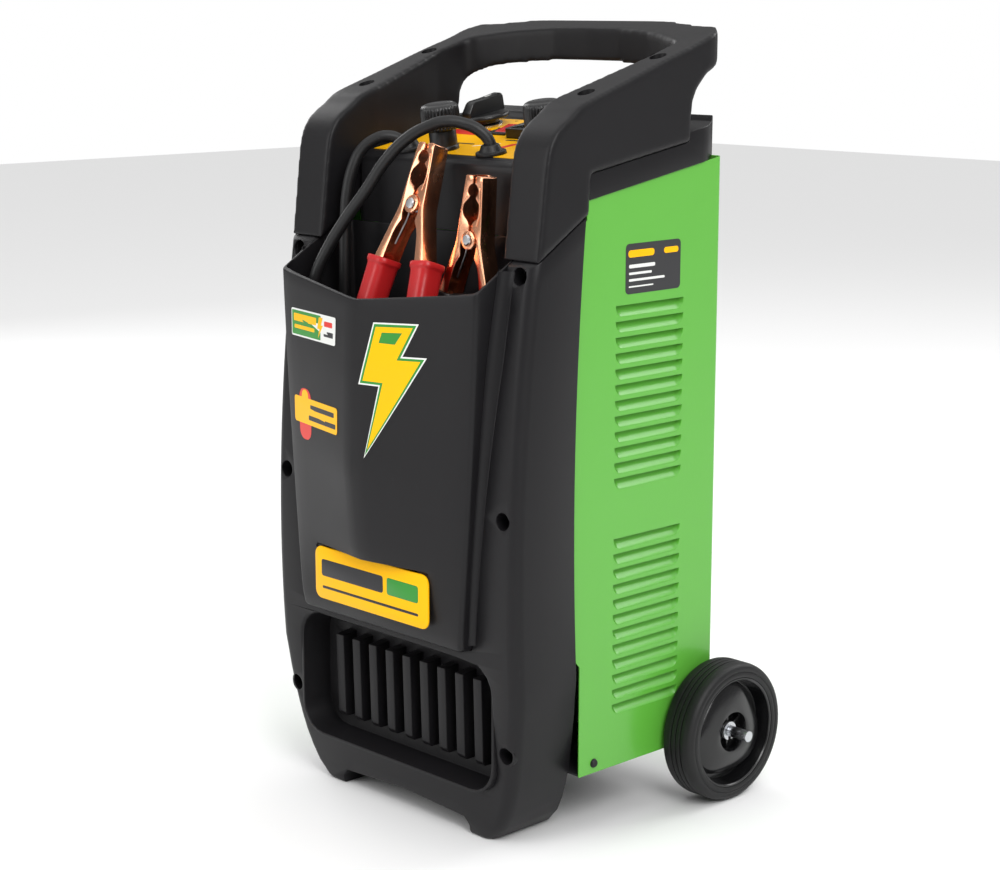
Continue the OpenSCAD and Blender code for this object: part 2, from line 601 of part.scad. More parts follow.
module tyre_left() color("#232326") place() mirror([1, 0, 0]) tyre();

// ---- power parts ----
core_y = 150;
core_z = 72;
leg = core_w / 6;
core_h = core_w * 5 / 6;
window_w = core_w / 6 + 2;
module transformer_core() color("#6f7378") place() difference() {
    box(-core_w / 2, core_w / 2, core_y - core_t / 2, core_y + core_t / 2, core_z, core_z + core_h);
    for (s = [-1, 1]) translate([s * (leg + window_w) / 2 + s * leg / 2, core_y, core_z + core_h / 2])
        cube([window_w, core_t + 2, core_h - leg * 1.4], center = true);
}
module winding(grow0, grow1) translate([0, core_y, core_z + core_h / 2]) difference() {
    linear_extrude(core_h - leg * 1.4 - 4, center = true)
        rounded(2 * leg + 2 * grow1, core_t + 2 * grow1, 4);
    linear_extrude(core_h, center = true) rounded(2 * leg + 2 * grow0, core_t + 2 * grow0, 1);
}
module primary_winding() color("#a8552d") place() winding(1, window_w * 0.45);
module secondary_winding() color("#8a4526") place() winding(window_w * 0.45 + 1, window_w * 0.9);
module transformer_frame() color("#8d9094") place() {
    for (s = [-1, 1]) let (x = s * (core_w / 2 - 12)) {
        box(x - 12, x + 12, core_y - core_t / 2 - 14, core_y + core_t / 2 + 14, floor_h + 1.6,
            core_z - 0.1);
        for (y = [-1, 1]) translate([x, core_y + y * (core_t / 2 + 7), core_z - 1])
            cylinder(r = 4, h = core_h + 12);
        box(x - 10, x + 10, core_y - core_t / 2 - 14, core_y + core_t / 2 + 14, core_z + core_h + 0.1,
            core_z + core_h + 10);
    }
}
sink_z = core_z + core_h + 12;
module rectifier_heatsink() color("#b4b8bc") place() {
    box(-core_w / 2, core_w / 2, core_y - core_t / 2 - 10, core_y + core_t / 2 + 10, sink_z, sink_z + 8);
    for (i = [-4:4]) box(i * 9.5 - 1.2, i * 9.5 + 1.2, core_y - core_t / 2 - 10, core_y + core_t / 2 + 10,
        sink_z + 7, sink_z + 34);
}
module rectifier_diodes() color("#c9a34a") place() for (s = [-1, 1], y = [-22, 22])
    translate([s * core_w * 0.36, core_y + y, sink_z + 8.1]) {
        cylinder(r = 13, h = 8);
        cylinder(r = 5, h = 16);
    }
fan_y = case_d - 2 * sheet_t - 25.2;
module fan_frame() color("#1b1b1d") place() translate([0, fan_y + 25, fan_z]) rotate([90, 0, 0]) {
    difference() {
        linear_extrude(25) rounded(fan_w, fan_w, 6);
        translate([0, 0, -1]) cylinder(r = fan_w / 2 - 4, h = 27);
        for (x = [-1, 1], y = [-1, 1]) translate([x * fan_screw, y * fan_screw, -1])
            cylinder(r = 2.2, h = 40);
    }
    for (a = [0, 90]) rotate([0, 0, a]) translate([-(fan_w - 5) / 2, -2, 21]) cube([fan_w - 5, 4, 3.5]);
    translate([0, 0, 18]) cylinder(r = 17, h = 6.9);
    translate([0, 0, 6]) cylinder(r = 2, h = 14);
}
module fan_impeller() color("#2b2c30") place() translate([0, fan_y + 25, fan_z]) rotate([90, 0, 0]) {
    difference() {
        cylinder(r = 20, h = 17.5);
        translate([0, 0, 5]) cylinder(r = 2 + run_gap, h = 14);
    }
    for (i = [0:6]) rotate([0, 0, i * 360 / 7]) translate([18, 0, 9]) rotate([38, 0, 0])
        translate([0, -1, -7]) cube([fan_w / 2 - 24, 2, 14]);
}

// ---- clamps ----
// Each clamp has its rivet at the origin, its jaws up, and its rivet along Y.
clamp_t = 1.3;
grip_x = 27;
grip_z = -47;
rise = deck(90) - 572.48; // how far the deck stands from its usual height
clamp_pos_at = [10, 30, 531 + rise, 19, 0];
clamp_neg_at = [69, 40, 507 + rise, 3, 5];
module at_clamp(c) place() translate([c[0], c[1], c[2]]) rotate([-c[3], 0, 0]) rotate([0, c[4], 0])
    children();
// Outline of one half of the clamp, on the +X side, drawn d inside its back edge
function jaw_half(d) = [[0.4, 11], [0.4, jaw_l - 2], [2, jaw_l], [9 - d, jaw_l - 1],
    [11 - d, jaw_l * 0.6], [13 - d, 8], [14 - d, -3], [20 - d, -20], [grip_x + 7 - d, grip_z - 12],
    [grip_x - 6, grip_z - 12], [14, -26], [5, -12]];
module clamp_half(w) {
    difference() {
        along(-w / 2, w / 2) polygon(jaw_half(0));
        along(-w / 2 + clamp_t, w / 2 - clamp_t) polygon(concat(jaw_half(clamp_t), [[-20, -12], [-20, 11]]));
        along_round(0, 0, 7, -w / 2 - 1, w / 2 + 1);
    }
    for (s = [-1, 1]) difference() {
        along_round(0, 0, 7.6, s < 0 ? -w / 2 : w / 2 - clamp_t, s < 0 ? -w / 2 + clamp_t : w / 2);
        along_round(0, 0, rivet_d / 2 + run_gap, -w, w);
    }
    for (s = [-1, 1]) along(s < 0 ? -w / 2 : w / 2 - clamp_t, s < 0 ? -w / 2 + clamp_t : w / 2)
        polygon([[0.4, 11.5], [13, 8], [14, -3], [13, -14], [5, -12.5], [6.9, -2], [5, 5], [0.4, 6.9]]);
}
module clamp_grip() difference() {
    translate([grip_x, 0, grip_z]) rotate([0, -6, 0]) {
        translate([0, 0, -grip_l]) linear_extrude(grip_l) rounded(21, clamp_w + 4, 7);
        translate([0, 0, -5]) linear_extrude(5) rounded(25, clamp_w + 6, 7);
    }
    along(-clamp_w / 2 - 0.1, clamp_w / 2 + 0.1) polygon([[20.4, -20], [grip_x + 7.4, grip_z - 12.3],
        [grip_x - 6.4, grip_z - 12.3], [13.6, -26], [13.6, -20]]);
}
nest_w = clamp_w - 2 * clamp_t - 0.8;
module clamp_pos_jaw_fixed() color(copper) at_clamp(clamp_pos_at) mirror([1, 0, 0]) clamp_half(clamp_w);
module clamp_pos_jaw_moving() color(copper) at_clamp(clamp_pos_at) clamp_half(nest_w);
module clamp_pos_grip_fixed() color("#b3191f") at_clamp(clamp_pos_at) mirror([1, 0, 0]) clamp_grip();
module clamp_pos_grip_moving() color("#b3191f") at_clamp(clamp_pos_at) clamp_grip();
module clamp_neg_jaw_fixed() color(copper) at_clamp(clamp_neg_at) mirror([1, 0, 0]) clamp_half(clamp_w);
module clamp_neg_jaw_moving() color(copper) at_clamp(clamp_neg_at) clamp_half(nest_w);
module clamp_neg_grip_fixed() color(black) at_clamp(clamp_neg_at) mirror([1, 0, 0]) clamp_grip();
module clamp_neg_grip_moving() color(black) at_clamp(clamp_neg_at) clamp_grip();
module clamp_rivets() color("#b9bcc0") for (c = [clamp_pos_at, clamp_neg_at]) at_clamp(c) {
    along_round(0, 0, rivet_d / 2, -clamp_w / 2 - 1, clamp_w / 2 + 1);
    for (s = [-1, 1]) along_round(0, 0, rivet_d * 0.72, s < 0 ? -clamp_w / 2 - 2 : clamp_w / 2 + 0.2,
        s < 0 ? -clamp_w / 2 - 0.2 : clamp_w / 2 + 2);
}
module clamp_springs() color("#9a9da1") for (c = [clamp_pos_at, clamp_neg_at]) at_clamp(c)
    rotate([90, 0, 0]) for (i = [-2:2]) translate([0, 0, i * 1.7])
        rotate_extrude() translate([rivet_d / 2 + 1.2, 0]) circle(0.8, $fn = 16);

// ---- leads ----
coil_r = 57.5;
coil_turns = 1.5;
coil_x = -42;
coil_z = 257;
coil_pos_y = 3;
coil_neg_y = 38;
lead_pos_route = [[34, 90, 572], [33, 89, 583], [27, 84, 592], [17, 76, 598], [5, 64, 600], [-7, 53, 595],
    [-21, 43, 585], [-37, 34, 567], [-54, 26, 541], [-73, 18, 515], [-88, 11, 490], [-97, 4, 466],
    [-101, 0, 440], [-101, -3, 405], [-100, -5, 365], [-99.5, -5, 325], [-99.5, -5, 290], [-99.5, -5, 268]];
lead_pos_tail = [[15.5, 11, 246], [15.5, 11, 270], [15, 9, 300], [9, 6, 335], [-3, 0, 368], [-15, -5, 394],
    [-22, -9, 416], [-23, -7, 424]];
lead_neg_route = [[-66, 86, 572], [-70, 80, 580], [-77, 71, 584], [-85, 62, 581], [-92, 53, 572],
    [-95, 46, 558], [-97, 41, 538], [-97, 38, 513], [-96, 36, 480], [-96, 35, 440], [-98, 33, 395],
    [-99.5, 31, 350], [-99.5, 30, 310], [-99.5, 30, 268]];
lead_neg_tail = [[15.5, 46, 246], [15.5, 46, 270], [16, 44, 300], [18, 40, 335], [21, 36, 368],
    [23, 34, 390], [24, 34, 398]];
function unit(v) = v / norm(v);
function tangent(p, i) = unit(p[min(i + 1, len(p) - 1)] - p[max(i - 1, 0)]);
module tube(p, sides = 10) {
    n = len(p);
    pts = [for (i = [0:n - 1]) let (t = tangent(p, i), u = unit(cross(t, [0, 1, 0])), v = cross(t, u))
        for (k = [0:sides - 1]) p[i] + lead_d / 2 * (cos(k * 360 / sides) * u + sin(k * 360 / sides) * v)];
    polyhedron(points = pts, faces = concat(
        [[for (k = [sides - 1:-1:0]) k]],
        [[for (k = [0:sides - 1]) (n - 1) * sides + k]],
        [for (i = [0:n - 2], k = [0:sides - 1]) let (a = i * sides + k, b = i * sides + (k + 1) % sides)
            [a, b, b + sides, a + sides]]));
}
module coil(y) translate([coil_x, y, coil_z]) rotate([90, 0, 0])
    translate([0, 0, -lead_d * (coil_turns + 1) / 2])
        ring(coil_r + lead_d / 2, coil_r - lead_d / 2, lead_d * (coil_turns + 1));
// A lead's points: the coil stays on the bin's floor, and all above a height follows the deck
function hung(pts, top) = [for (p = pts)
    [p.x, p.y, p.z + rise * min(1, max(0, (p.z - 270) / (top - 270)))]];
module lead_pos() color("#151517") place() {
    tube(hung(lead_pos_route, 466));
    tube(hung(lead_pos_tail, 394));
}
module lead_neg() color("#151517") place() {
    tube(hung(lead_neg_route, 480));
    tube(hung(lead_neg_tail, 390));
}
module lead_pos_coil() color("#1b1b1d") place() coil(coil_pos_y);
module lead_neg_coil() color("#1b1b1d") place() coil(coil_neg_y);

front_shell();
storage_bin();
top_cover();
panel_overlay();
handle_upper();
handle_lower();
side_panel_right();
side_panel_left();
rear_panel();
base_plate();
badge_plate();
shell_screws();
handle_screws();
panel_screws();
axle();
wheel_right();
wheel_left();
tyre_right();
tyre_left();
axle_clips();
transformer_core();
primary_winding();
secondary_winding();
transformer_frame();
rectifier_heatsink();
rectifier_diodes();
fan_frame();
fan_impeller();
selector_switch();
selector_knob();
terminal_collars();
terminal_studs();
terminal_knob_left();
terminal_knob_right();
ammeter_body();
ammeter_lens();
ammeter_needle();
rocker_frame();
rocker();
reset_button();
reset_bezel();
cable_grommets();
lead_pos();
lead_pos_coil();
lead_neg();
lead_neg_coil();
clamp_pos_jaw_fixed();
clamp_pos_jaw_moving();
clamp_pos_grip_fixed();
clamp_pos_grip_moving();
clamp_neg_jaw_fixed();
clamp_neg_jaw_moving();
clamp_neg_grip_fixed();
clamp_neg_grip_moving();
clamp_rivets();
clamp_springs();
mains_gland();
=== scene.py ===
"""The looks of a wheeled starter charger for 12 and 24 volt batteries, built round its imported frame.

Lengths in this file are millimetres, and depths count back from the flange plane of the front
shell, unless a comment says otherwise. at() turns such a place into metres in the frame.
"""
import math

import bmesh
import bpy
from mathutils import Matrix, Vector


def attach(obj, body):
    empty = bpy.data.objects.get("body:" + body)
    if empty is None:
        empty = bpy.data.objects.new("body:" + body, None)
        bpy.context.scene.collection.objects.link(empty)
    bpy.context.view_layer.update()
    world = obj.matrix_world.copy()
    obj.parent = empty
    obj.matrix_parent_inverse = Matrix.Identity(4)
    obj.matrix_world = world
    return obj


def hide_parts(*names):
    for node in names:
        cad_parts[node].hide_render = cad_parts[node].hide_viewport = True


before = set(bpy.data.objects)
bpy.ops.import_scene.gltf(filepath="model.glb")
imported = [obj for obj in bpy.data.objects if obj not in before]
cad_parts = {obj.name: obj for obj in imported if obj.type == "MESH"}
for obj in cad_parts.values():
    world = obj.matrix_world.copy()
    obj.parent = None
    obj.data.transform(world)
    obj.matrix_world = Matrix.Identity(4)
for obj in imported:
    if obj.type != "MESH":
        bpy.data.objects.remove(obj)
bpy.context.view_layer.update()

MM = 0.001
FLANGE = 132          # the flange plane lies this far in front of the frame's origin
SLOPE_DEG = 9.7       # slope of the control deck
SLOPE = math.tan(math.radians(SLOPE_DEG))
CASE_D, SIDE_H, CASE_HALF = 251, 570, 152
SHELL_HALF, SHEET, WALL = 156, 1.2, 3
AXLE_Y, AXLE_Z = 242.5, 62.5
LEAD_D = 10.5


def at(x, y, z):
    return Vector((x, y - FLANGE, z)) * MM


def side_top(y):
    """Height of a side panel's top edge."""
    return SIDE_H - (CASE_D - y) * SLOPE


def deck(y):
    """Height of the control deck."""
    return side_top(y) + 30


def rim(y):
    """Height of the plane of the bin's mouth and the shell's shoulders."""
    return side_top(0) - 48.4 + 0.62 * y


def bulge(z, radius, middle):
    return radius - math.sqrt(radius * radius - (z - middle) ** 2)


def face_y(z):
    """Depth of the shell's front face."""
    return bulge(z, 1618, 233)


def back_y(z):
    """Depth of the shell's rear edge."""
    return 69 + bulge(z, 2265, 265)


def bin_w(z):
    """Half width of the bin."""
    return 125 - 21.5 * (max(0, rim(25) - z) / (rim(25) - 172)) ** 1.4


def blend_points(points, n=6):
    """A smooth line through points, with n steps between each two."""
    out = []
    for i in range(len(points) - 1):
        p0, p1, p2, p3 = (Vector(points[max(0, min(len(points) - 1, k))]) for k in (i - 1, i, i + 1, i + 2))
        for k in range(n):
            t = k / n
            out.append(tuple(0.5 * (2 * p1 + (p2 - p0) * t + (2 * p0 - 5 * p1 + 4 * p2 - p3) * t * t
                                    + (3 * p1 - p0 - 3 * p2 + p3) * t ** 3)))
    return out + [tuple(points[-1])]


def both_sides(points):
    """Points on the right, then the same points mirrored, back to the start."""
    return list(points) + [(-a, b) for a, b in reversed(points)]


def arc(cx, cy, r, a0, a1, n=6):
    return [(cx + r * math.cos(math.radians(a0 + (a1 - a0) * i / n)),
             cy + r * math.sin(math.radians(a0 + (a1 - a0) * i / n))) for i in range(n + 1)]


def rounded(w, h, r, cx=0, cy=0, n=5):
    """A rectangle with round corners."""
    x, y = w / 2 - r, h / 2 - r
    return (arc(cx + x, cy + y, r, 0, 90, n) + arc(cx - x, cy + y, r, 90, 180, n)
            + arc(cx - x, cy - y, r, 180, 270, n) + arc(cx + x, cy - y, r, 270, 360, n))


# ---- working with objects ----
def deselect():
    bpy.ops.object.select_all(action="DESELECT")


def take(obj):
    """Makes obj the only selected object, and the active one."""
    deselect()
    obj.select_set(True)
    bpy.context.view_layer.objects.active = obj


def edit(obj, *steps):
    """Runs edit-mode steps on all of obj."""
    take(obj)
    bpy.ops.object.mode_set(mode="EDIT")
    bpy.ops.mesh.select_all(action="SELECT")
    for step in steps:
        step()
    bpy.ops.object.mode_set(mode="OBJECT")
    return obj


def merge():
    bpy.ops.mesh.remove_doubles(threshold=1e-6)


def fill_ends():
    bpy.ops.mesh.fill_holes(sides=0)


def face_out():
    bpy.ops.mesh.normals_make_consistent(inside=False)


def modify(obj, kind, **values):
    """Adds a modifier, sets it and applies it."""
    take(obj)
    modifier = obj.modifiers.new(kind.lower(), kind)
    for key, value in values.items():
        setattr(modifier, key, value)
    bpy.ops.object.modifier_apply(modifier=modifier.name)
    return obj


def cut(obj, *tools, how="DIFFERENCE"):
    """Cuts obj with each tool, which is used up."""
    for tool in tools:
        modify(obj, "BOOLEAN", operation=how, object=tool, solver="EXACT")
        bpy.data.objects.remove(tool)
    return obj


def join(obj, *others):
    take(obj)
    for other in others:
        other.select_set(True)
    bpy.ops.object.join()
    return obj


def soften(obj, width=1.0, segments=2, angle=30, clamp=False):
    """Rounds all edges sharper than angle."""
    modify(obj, "BEVEL", width=width * MM, segments=segments, limit_method="ANGLE",
           angle_limit=math.radians(angle), use_clamp_overlap=clamp, miter_outer="MITER_ARC")
    return smooth(obj)


def smooth(obj, angle=40):
    take(obj)
    bpy.ops.object.shade_smooth_by_angle(angle=math.radians(angle))
    return obj


def round_edges(obj, test, width, segments=4):
    """Rounds the edges for which test(one face's normal, the other's, middle of the edge in mm) holds."""
    take(obj)
    bpy.ops.object.mode_set(mode="EDIT")
    bpy.ops.mesh.select_mode(type="EDGE")
    bpy.ops.mesh.select_all(action="DESELECT")
    mesh = bmesh.from_edit_mesh(obj.data)
    for edge in mesh.edges:
        if len(edge.link_faces) == 2:
            a, b = (face.normal for face in edge.link_faces)
            if a.dot(b) < 0.94:
                middle = (edge.verts[0].co + edge.verts[1].co) / 2 / MM + Vector((0, FLANGE, 0))
                edge.select_set(bool(test(a, b, middle) or test(b, a, middle)))
    bmesh.update_edit_mesh(obj.data)
    bpy.ops.mesh.bevel(offset=width * MM, segments=segments, affect="EDGES", clamp_overlap=False)
    bpy.ops.mesh.select_all(action="SELECT")
    merge()
    bpy.ops.object.mode_set(mode="OBJECT")
    return obj


def slab(name, outline, axis, low, high):
    """A solid with an outline, drawn across X, Y or Z, from low to high along that axis."""
    deselect()
    bpy.ops.mesh.primitive_circle_add(vertices=len(outline), fill_type="NGON")
    obj = bpy.context.object
    obj.name = name
    place = {"X": lambda a, b: at(low, a, b), "Y": lambda a, b: at(a, low, b), "Z": lambda a,
             b: at(a, b, low)}[axis]
    for vertex, (a, b) in zip(obj.data.vertices, outline):
        vertex.co = place(a, b)
    shift = Vector([(high - low) * MM if axis == letter else 0 for letter in "XYZ"])
    return edit(obj, lambda: bpy.ops.mesh.extrude_region_move(TRANSFORM_OT_translate={"value": shift}),
                lambda: bpy.ops.mesh.select_all(action="SELECT"), face_out)


def skin(name, rows, ring=False, ends=False):
    """A sheet through rows of points in millimetres. A ring's rows close on themselves."""
    if ring:
        rows = [list(row) + [row[0]] for row in rows]
    deselect()
    bpy.ops.mesh.primitive_grid_add(x_subdivisions=len(rows[0]) - 1, y_subdivisions=len(rows) - 1)
    obj = bpy.context.object
    obj.name = name
    for vertex, p in zip(obj.data.vertices, [p for row in rows for p in row]):
        vertex.co = at(*p)
    steps = [merge] + ([fill_ends] if ends else []) + [face_out]
    return edit(obj, *steps)


def turned(name, profile, steps=72):
    """A profile of (radius, height) points in mm, turned about +Z at the frame's origin."""
    if profile[0][0] > 0 and profile[-1][0] > 0:
        profile = list(profile) + [profile[0]]
    deselect()
    bpy.ops.mesh.primitive_grid_add(x_subdivisions=len(profile) - 1, y_subdivisions=steps)
    obj = bpy.context.object
    obj.name = name
    for i, vertex in enumerate(obj.data.vertices):
        a = math.tau * (i // len(profile)) / steps
        r, h = profile[i % len(profile)]
        vertex.co = Vector((r * math.cos(a), r * math.sin(a), h)) * MM
    return edit(obj, merge, fill_ends, face_out)


def move(obj, matrix):
    """Puts obj in place: the place goes into its mesh, and the object stays at the origin."""
    take(obj)
    obj.matrix_world = matrix
    bpy.ops.object.transform_apply(location=True, rotation=True, scale=True)
    return obj


def on_deck(x, y, lift=0):
    """The place of something that stands on the control deck."""
    return Matrix.Translation(at(x, y, deck(y))) @ Matrix.Rotation(math.radians(SLOPE_DEG), 4, "X") \
        @ Matrix.Translation(Vector((0, 0, lift * MM)))


def copy_of(obj, name):
    other = obj.copy()
    other.data = obj.data.copy()
    other.name = name
    bpy.context.scene.collection.objects.link(other)
    return other


def mirrored(obj, name):
    """A copy on the other side of the middle, right way out."""
    other = copy_of(obj, name)
    for vertex in other.data.vertices:
        vertex.co.x *= -1
    take(other)
    bpy.ops.object.mode_set(mode="EDIT")
    bpy.ops.mesh.select_all(action="SELECT")
    bpy.ops.mesh.flip_normals()
    bpy.ops.object.mode_set(mode="OBJECT")
    return other


def dress(obj, material, body="case", stands_for=()):
    """Gives a piece its finish and its body, and hides the frame nodes that it stands for."""
    if material is not None:
        obj.data.materials.clear()
        obj.data.materials.append(material)
    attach(obj, body)
    if stands_for:
        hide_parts(*stands_for)
    return obj


# ---- camera ----
eye = bpy.data.cameras.new("camera")
eye.lens, eye.sensor_width = 76.88, 36
camera = bpy.data.objects.new("camera", eye)
camera.location = (1.3502, -1.2899, 0.6985)
camera.rotation_euler = (math.radians(90 - 11.453), 0, math.radians(46.292))
bpy.context.scene.collection.objects.link(camera)
bpy.context.scene.camera = camera

# ---- finishes ----
def group(name, inputs, outputs, build):
    """A shader node group. build(nodes, wire, source, result) fills it in."""
    tree = bpy.data.node_groups.new(name, "ShaderNodeTree")
    for title, value in inputs:
        kind = "NodeSocketColor" if isinstance(value, tuple) else "NodeSocketFloat"
        tree.interface.new_socket(title, in_out="INPUT", socket_type=kind).default_value = value
    for title, kind in outputs:
        tree.interface.new_socket(title, in_out="OUTPUT", socket_type=kind)
    source, result = tree.nodes.new("NodeGroupInput"), tree.nodes.new("NodeGroupOutput")
    build(tree.nodes, tree.links.new, source.outputs, result.inputs)
    return tree


def math_node(nodes, wire, operation, a, b=None, c=None, clamp=False):
    node = nodes.new("ShaderNodeMath")
    node.operation, node.use_clamp = operation, clamp
    for socket, value in zip(node.inputs, (a, b, c)):
        if isinstance(value, (int, float)):
            socket.default_value = value
        elif value is not None:
            wire(value, socket)
    return node.outputs[0]


def noise(nodes, wire, vector, scale, detail=4, roughness=0.55):
    node = nodes.new("ShaderNodeTexNoise")
    wire(vector, node.inputs["Vector"])
    for title, value in (("Scale", scale), ("Detail", detail), ("Roughness", roughness)):
        if isinstance(value, (int, float)):
            node.inputs[title].default_value = value
        else:
            wire(value, node.inputs[title])
    return node.outputs["Fac"]


def between(nodes, wire, value, low, high, to_low=0.0, to_high=1.0):
    """Value from low to high, mapped to to_low to to_high and held at the ends."""
    node = nodes.new("ShaderNodeMapRange")
    wire(value, node.inputs["Value"])
    for title, number in (("From Min", low), ("From Max", high), ("To Min", to_low), ("To Max", to_high)):
        if isinstance(number, (int, float)):
            node.inputs[title].default_value = number
        else:
            wire(number, node.inputs[title])
    return node.outputs["Result"]


def mix(nodes, wire, share, a, b):
    node = nodes.new("ShaderNodeMix")
    node.data_type = "RGBA"
    for socket, value in ((node.inputs["Factor"], share), (node.inputs[6], a), (node.inputs[7], b)):
        if isinstance(value, (tuple, float, int)):
            socket.default_value = value
        else:
            wire(value, socket)
    return node.outputs[2]


def coordinates(nodes):
    return nodes.new("ShaderNodeTexCoord").outputs["Object"]


def build_grain(nodes, wire, source, result):
    """The spark-eroded grain of a mould: fine cells over finer noise."""
    where = coordinates(nodes)
    cells = nodes.new("ShaderNodeTexVoronoi")
    wire(where, cells.inputs["Vector"])
    wire(source["Scale"], cells.inputs["Scale"])
    fine = noise(nodes, wire, where, math_node(nodes, wire, "MULTIPLY", source["Scale"], 2.3), 3)
    height = math_node(nodes, wire, "ADD", cells.outputs["Distance"],
                       math_node(nodes, wire, "MULTIPLY", fine, 0.7))
    wire(math_node(nodes, wire, "MULTIPLY", height, source["Depth"]), result["Height"])


def build_wear(nodes, wire, source, result):
    """Handling marks: broad smudges, settled dust on upward faces and a few fine scuffs."""
    where = coordinates(nodes)
    smudge = between(nodes, wire, noise(nodes, wire, where, source["Scale"], 5, 0.6), 0.42, 0.72)
    stretch = nodes.new("ShaderNodeMapping")
    stretch.inputs["Scale"].default_value = (1.0, 1.0, 0.12)
    stretch.inputs["Rotation"].default_value = (0.5, 0.3, 0.2)
    wire(where, stretch.inputs["Vector"])
    scuff = between(nodes, wire, noise(nodes, wire, stretch.outputs[0], 420, 2, 0.5), 0.71, 0.76)
    facing = nodes.new("ShaderNodeSeparateXYZ")
    wire(nodes.new("ShaderNodeNewGeometry").outputs["Normal"], facing.inputs[0])
    up = between(nodes, wire, facing.outputs["Z"], 0.55, 1.0)
    dust = math_node(nodes, wire, "MULTIPLY", up, between(nodes, wire,
                                                          noise(nodes, wire, where, 160, 6, 0.7), 0.4,
                                                          0.75))
    mask = math_node(nodes, wire, "ADD", math_node(nodes, wire, "MULTIPLY", smudge, 0.5),
                     math_node(nodes, wire, "MULTIPLY", dust, source["Dust"]), clamp=True)
    wire(mask, result["Mask"])
    wire(math_node(nodes, wire, "MULTIPLY", scuff, source["Scuffs"]), result["Scuff"])


GRAIN = group("mould grain", [("Scale", 900.0), ("Depth", 1.0)], [("Height", "NodeSocketFloat")],
              build_grain)
WEAR = group("handling wear", [("Scale", 9.0), ("Dust", 0.6), ("Scuffs", 0.3)],
             [("Mask", "NodeSocketFloat"), ("Scuff", "NodeSocketFloat")], build_wear)


def finish(name, colour, roughness, worn=None, spread=0.12, grain=900.0, depth=0.05, metal=0.0,
           smudges=9.0, dust=0.6, scuffs=0.3, extra=None, pattern=None, **shader_values):
    """A finish from the two groups. pattern(nodes, wire) may give the base colour, and extra(nodes, wire)
    may give a height that is added to the grain's. depth is the bump's height in millimetres."""
    material = bpy.data.materials.new(name)
    material.use_nodes = True
    material.diffuse_color = (*colour, 1)
    nodes, wire = material.node_tree.nodes, material.node_tree.links.new
    shader = nodes["Principled BSDF"]
    shader.inputs["Metallic"].default_value = metal
    for title, value in shader_values.items():
        shader.inputs[title.replace("_", " ")].default_value = value
    marks = nodes.new("ShaderNodeGroup")
    marks.node_tree = WEAR
    for title, value in (("Scale", smudges), ("Dust", dust), ("Scuffs", scuffs)):
        marks.inputs[title].default_value = value
    worn = worn or tuple(min(1, c * 1.35 + 0.012) for c in colour)
    base = pattern(nodes, wire) if pattern else (*colour, 1)
    tone = mix(nodes, wire, math_node(nodes, wire, "MULTIPLY", marks.outputs["Mask"], 0.45), base,
               (*worn, 1))
    tone = mix(nodes, wire, marks.outputs["Scuff"], tone, (*[min(1, c * 1.6 + 0.03) for c in worn], 1))
    wire(tone, shader.inputs["Base Color"])
    rough = between(nodes, wire, marks.outputs["Mask"], 0, 1, roughness, min(1, roughness + spread))
    wire(rough, shader.inputs["Roughness"])
    texture = nodes.new("ShaderNodeGroup")
    texture.node_tree = GRAIN
    texture.inputs["Scale"].default_value = grain
    height = texture.outputs["Height"]
    if extra:
        height = math_node(nodes, wire, "ADD", height, extra(nodes, wire))
    bump = nodes.new("ShaderNodeBump")
    bump.inputs["Strength"].default_value = 1.0
    bump.inputs["Distance"].default_value = depth * MM
    wire(height, bump.inputs["Height"])
    wire(bump.outputs["Normal"], shader.inputs["Normal"])
    return material


def brushed(axis, scale=900.0, gain=0.8):
    """Fine lines that run along one axis."""
    def lines(nodes, wire):
        stretch = nodes.new("ShaderNodeMapping")
        stretch.inputs["Scale"].default_value = tuple(0.03 if letter == axis else 1.0 for letter in "XYZ")
        wire(coordinates(nodes), stretch.inputs["Vector"])
        return math_node(nodes, wire, "MULTIPLY", noise(nodes, wire, stretch.outputs[0], scale, 3), gain)
    return lines


def orange_peel(nodes, wire):
    """The long soft ripple of sprayed gloss paint."""
    return math_node(nodes, wire, "MULTIPLY", noise(nodes, wire, coordinates(nodes), 190, 2, 0.4), 2.5)


def stripes(axis, pitch, share, depth):
    """Square ridges across an axis: a pitch in millimetres, and the share of it that is raised."""
    def ridges(nodes, wire):
        parts = nodes.new("ShaderNodeSeparateXYZ")
        wire(coordinates(nodes), parts.inputs[0])
        turn = math_node(nodes, wire, "FRACT", math_node(nodes, wire, "MULTIPLY", parts.outputs[axis],
                                                         1 / (pitch * MM)))
        return between(nodes, wire, turn, share, share + 0.12, 0.0, depth)
    return ridges


shell_plastic = finish("shell_plastic", (0.0075, 0.0070, 0.0080), 0.40, grain=1500, depth=0.03, dust=0.3,
                       scuffs=0.10, worn=(0.0125, 0.012, 0.0134), Specular_IOR_Level=0.24)
liner_plastic = finish("liner_plastic", (0.004, 0.004, 0.0045), 0.5, grain=1200, depth=0.05,
                       Specular_IOR_Level=0.3)
green_paint = finish("green_paint", (0.105, 0.410, 0.042), 0.30, grain=700, depth=0.02, extra=orange_peel,
                     worn=(0.118, 0.43, 0.055), dust=0.2, scuffs=0.06, spread=0.06,
                     Specular_IOR_Level=0.4, Coat_Weight=0.25, Coat_Roughness=0.1)
chassis_paint = finish("chassis_paint", (0.028, 0.028, 0.030), 0.42, grain=500, depth=0.05, dust=0.8)
badge_film = finish("badge_film", (0.98, 0.49, 0.0), 0.3, grain=1800, depth=0.008, dust=0.05, scuffs=0.02,
                    worn=(0.88, 0.46, 0.006), Specular_IOR_Level=0.15, Coat_Weight=0.05, Coat_Roughness=0.1)
print_green = finish("print_green", (0.018, 0.24, 0.018), 0.33, depth=0.008, dust=0.1, scuffs=0.05)
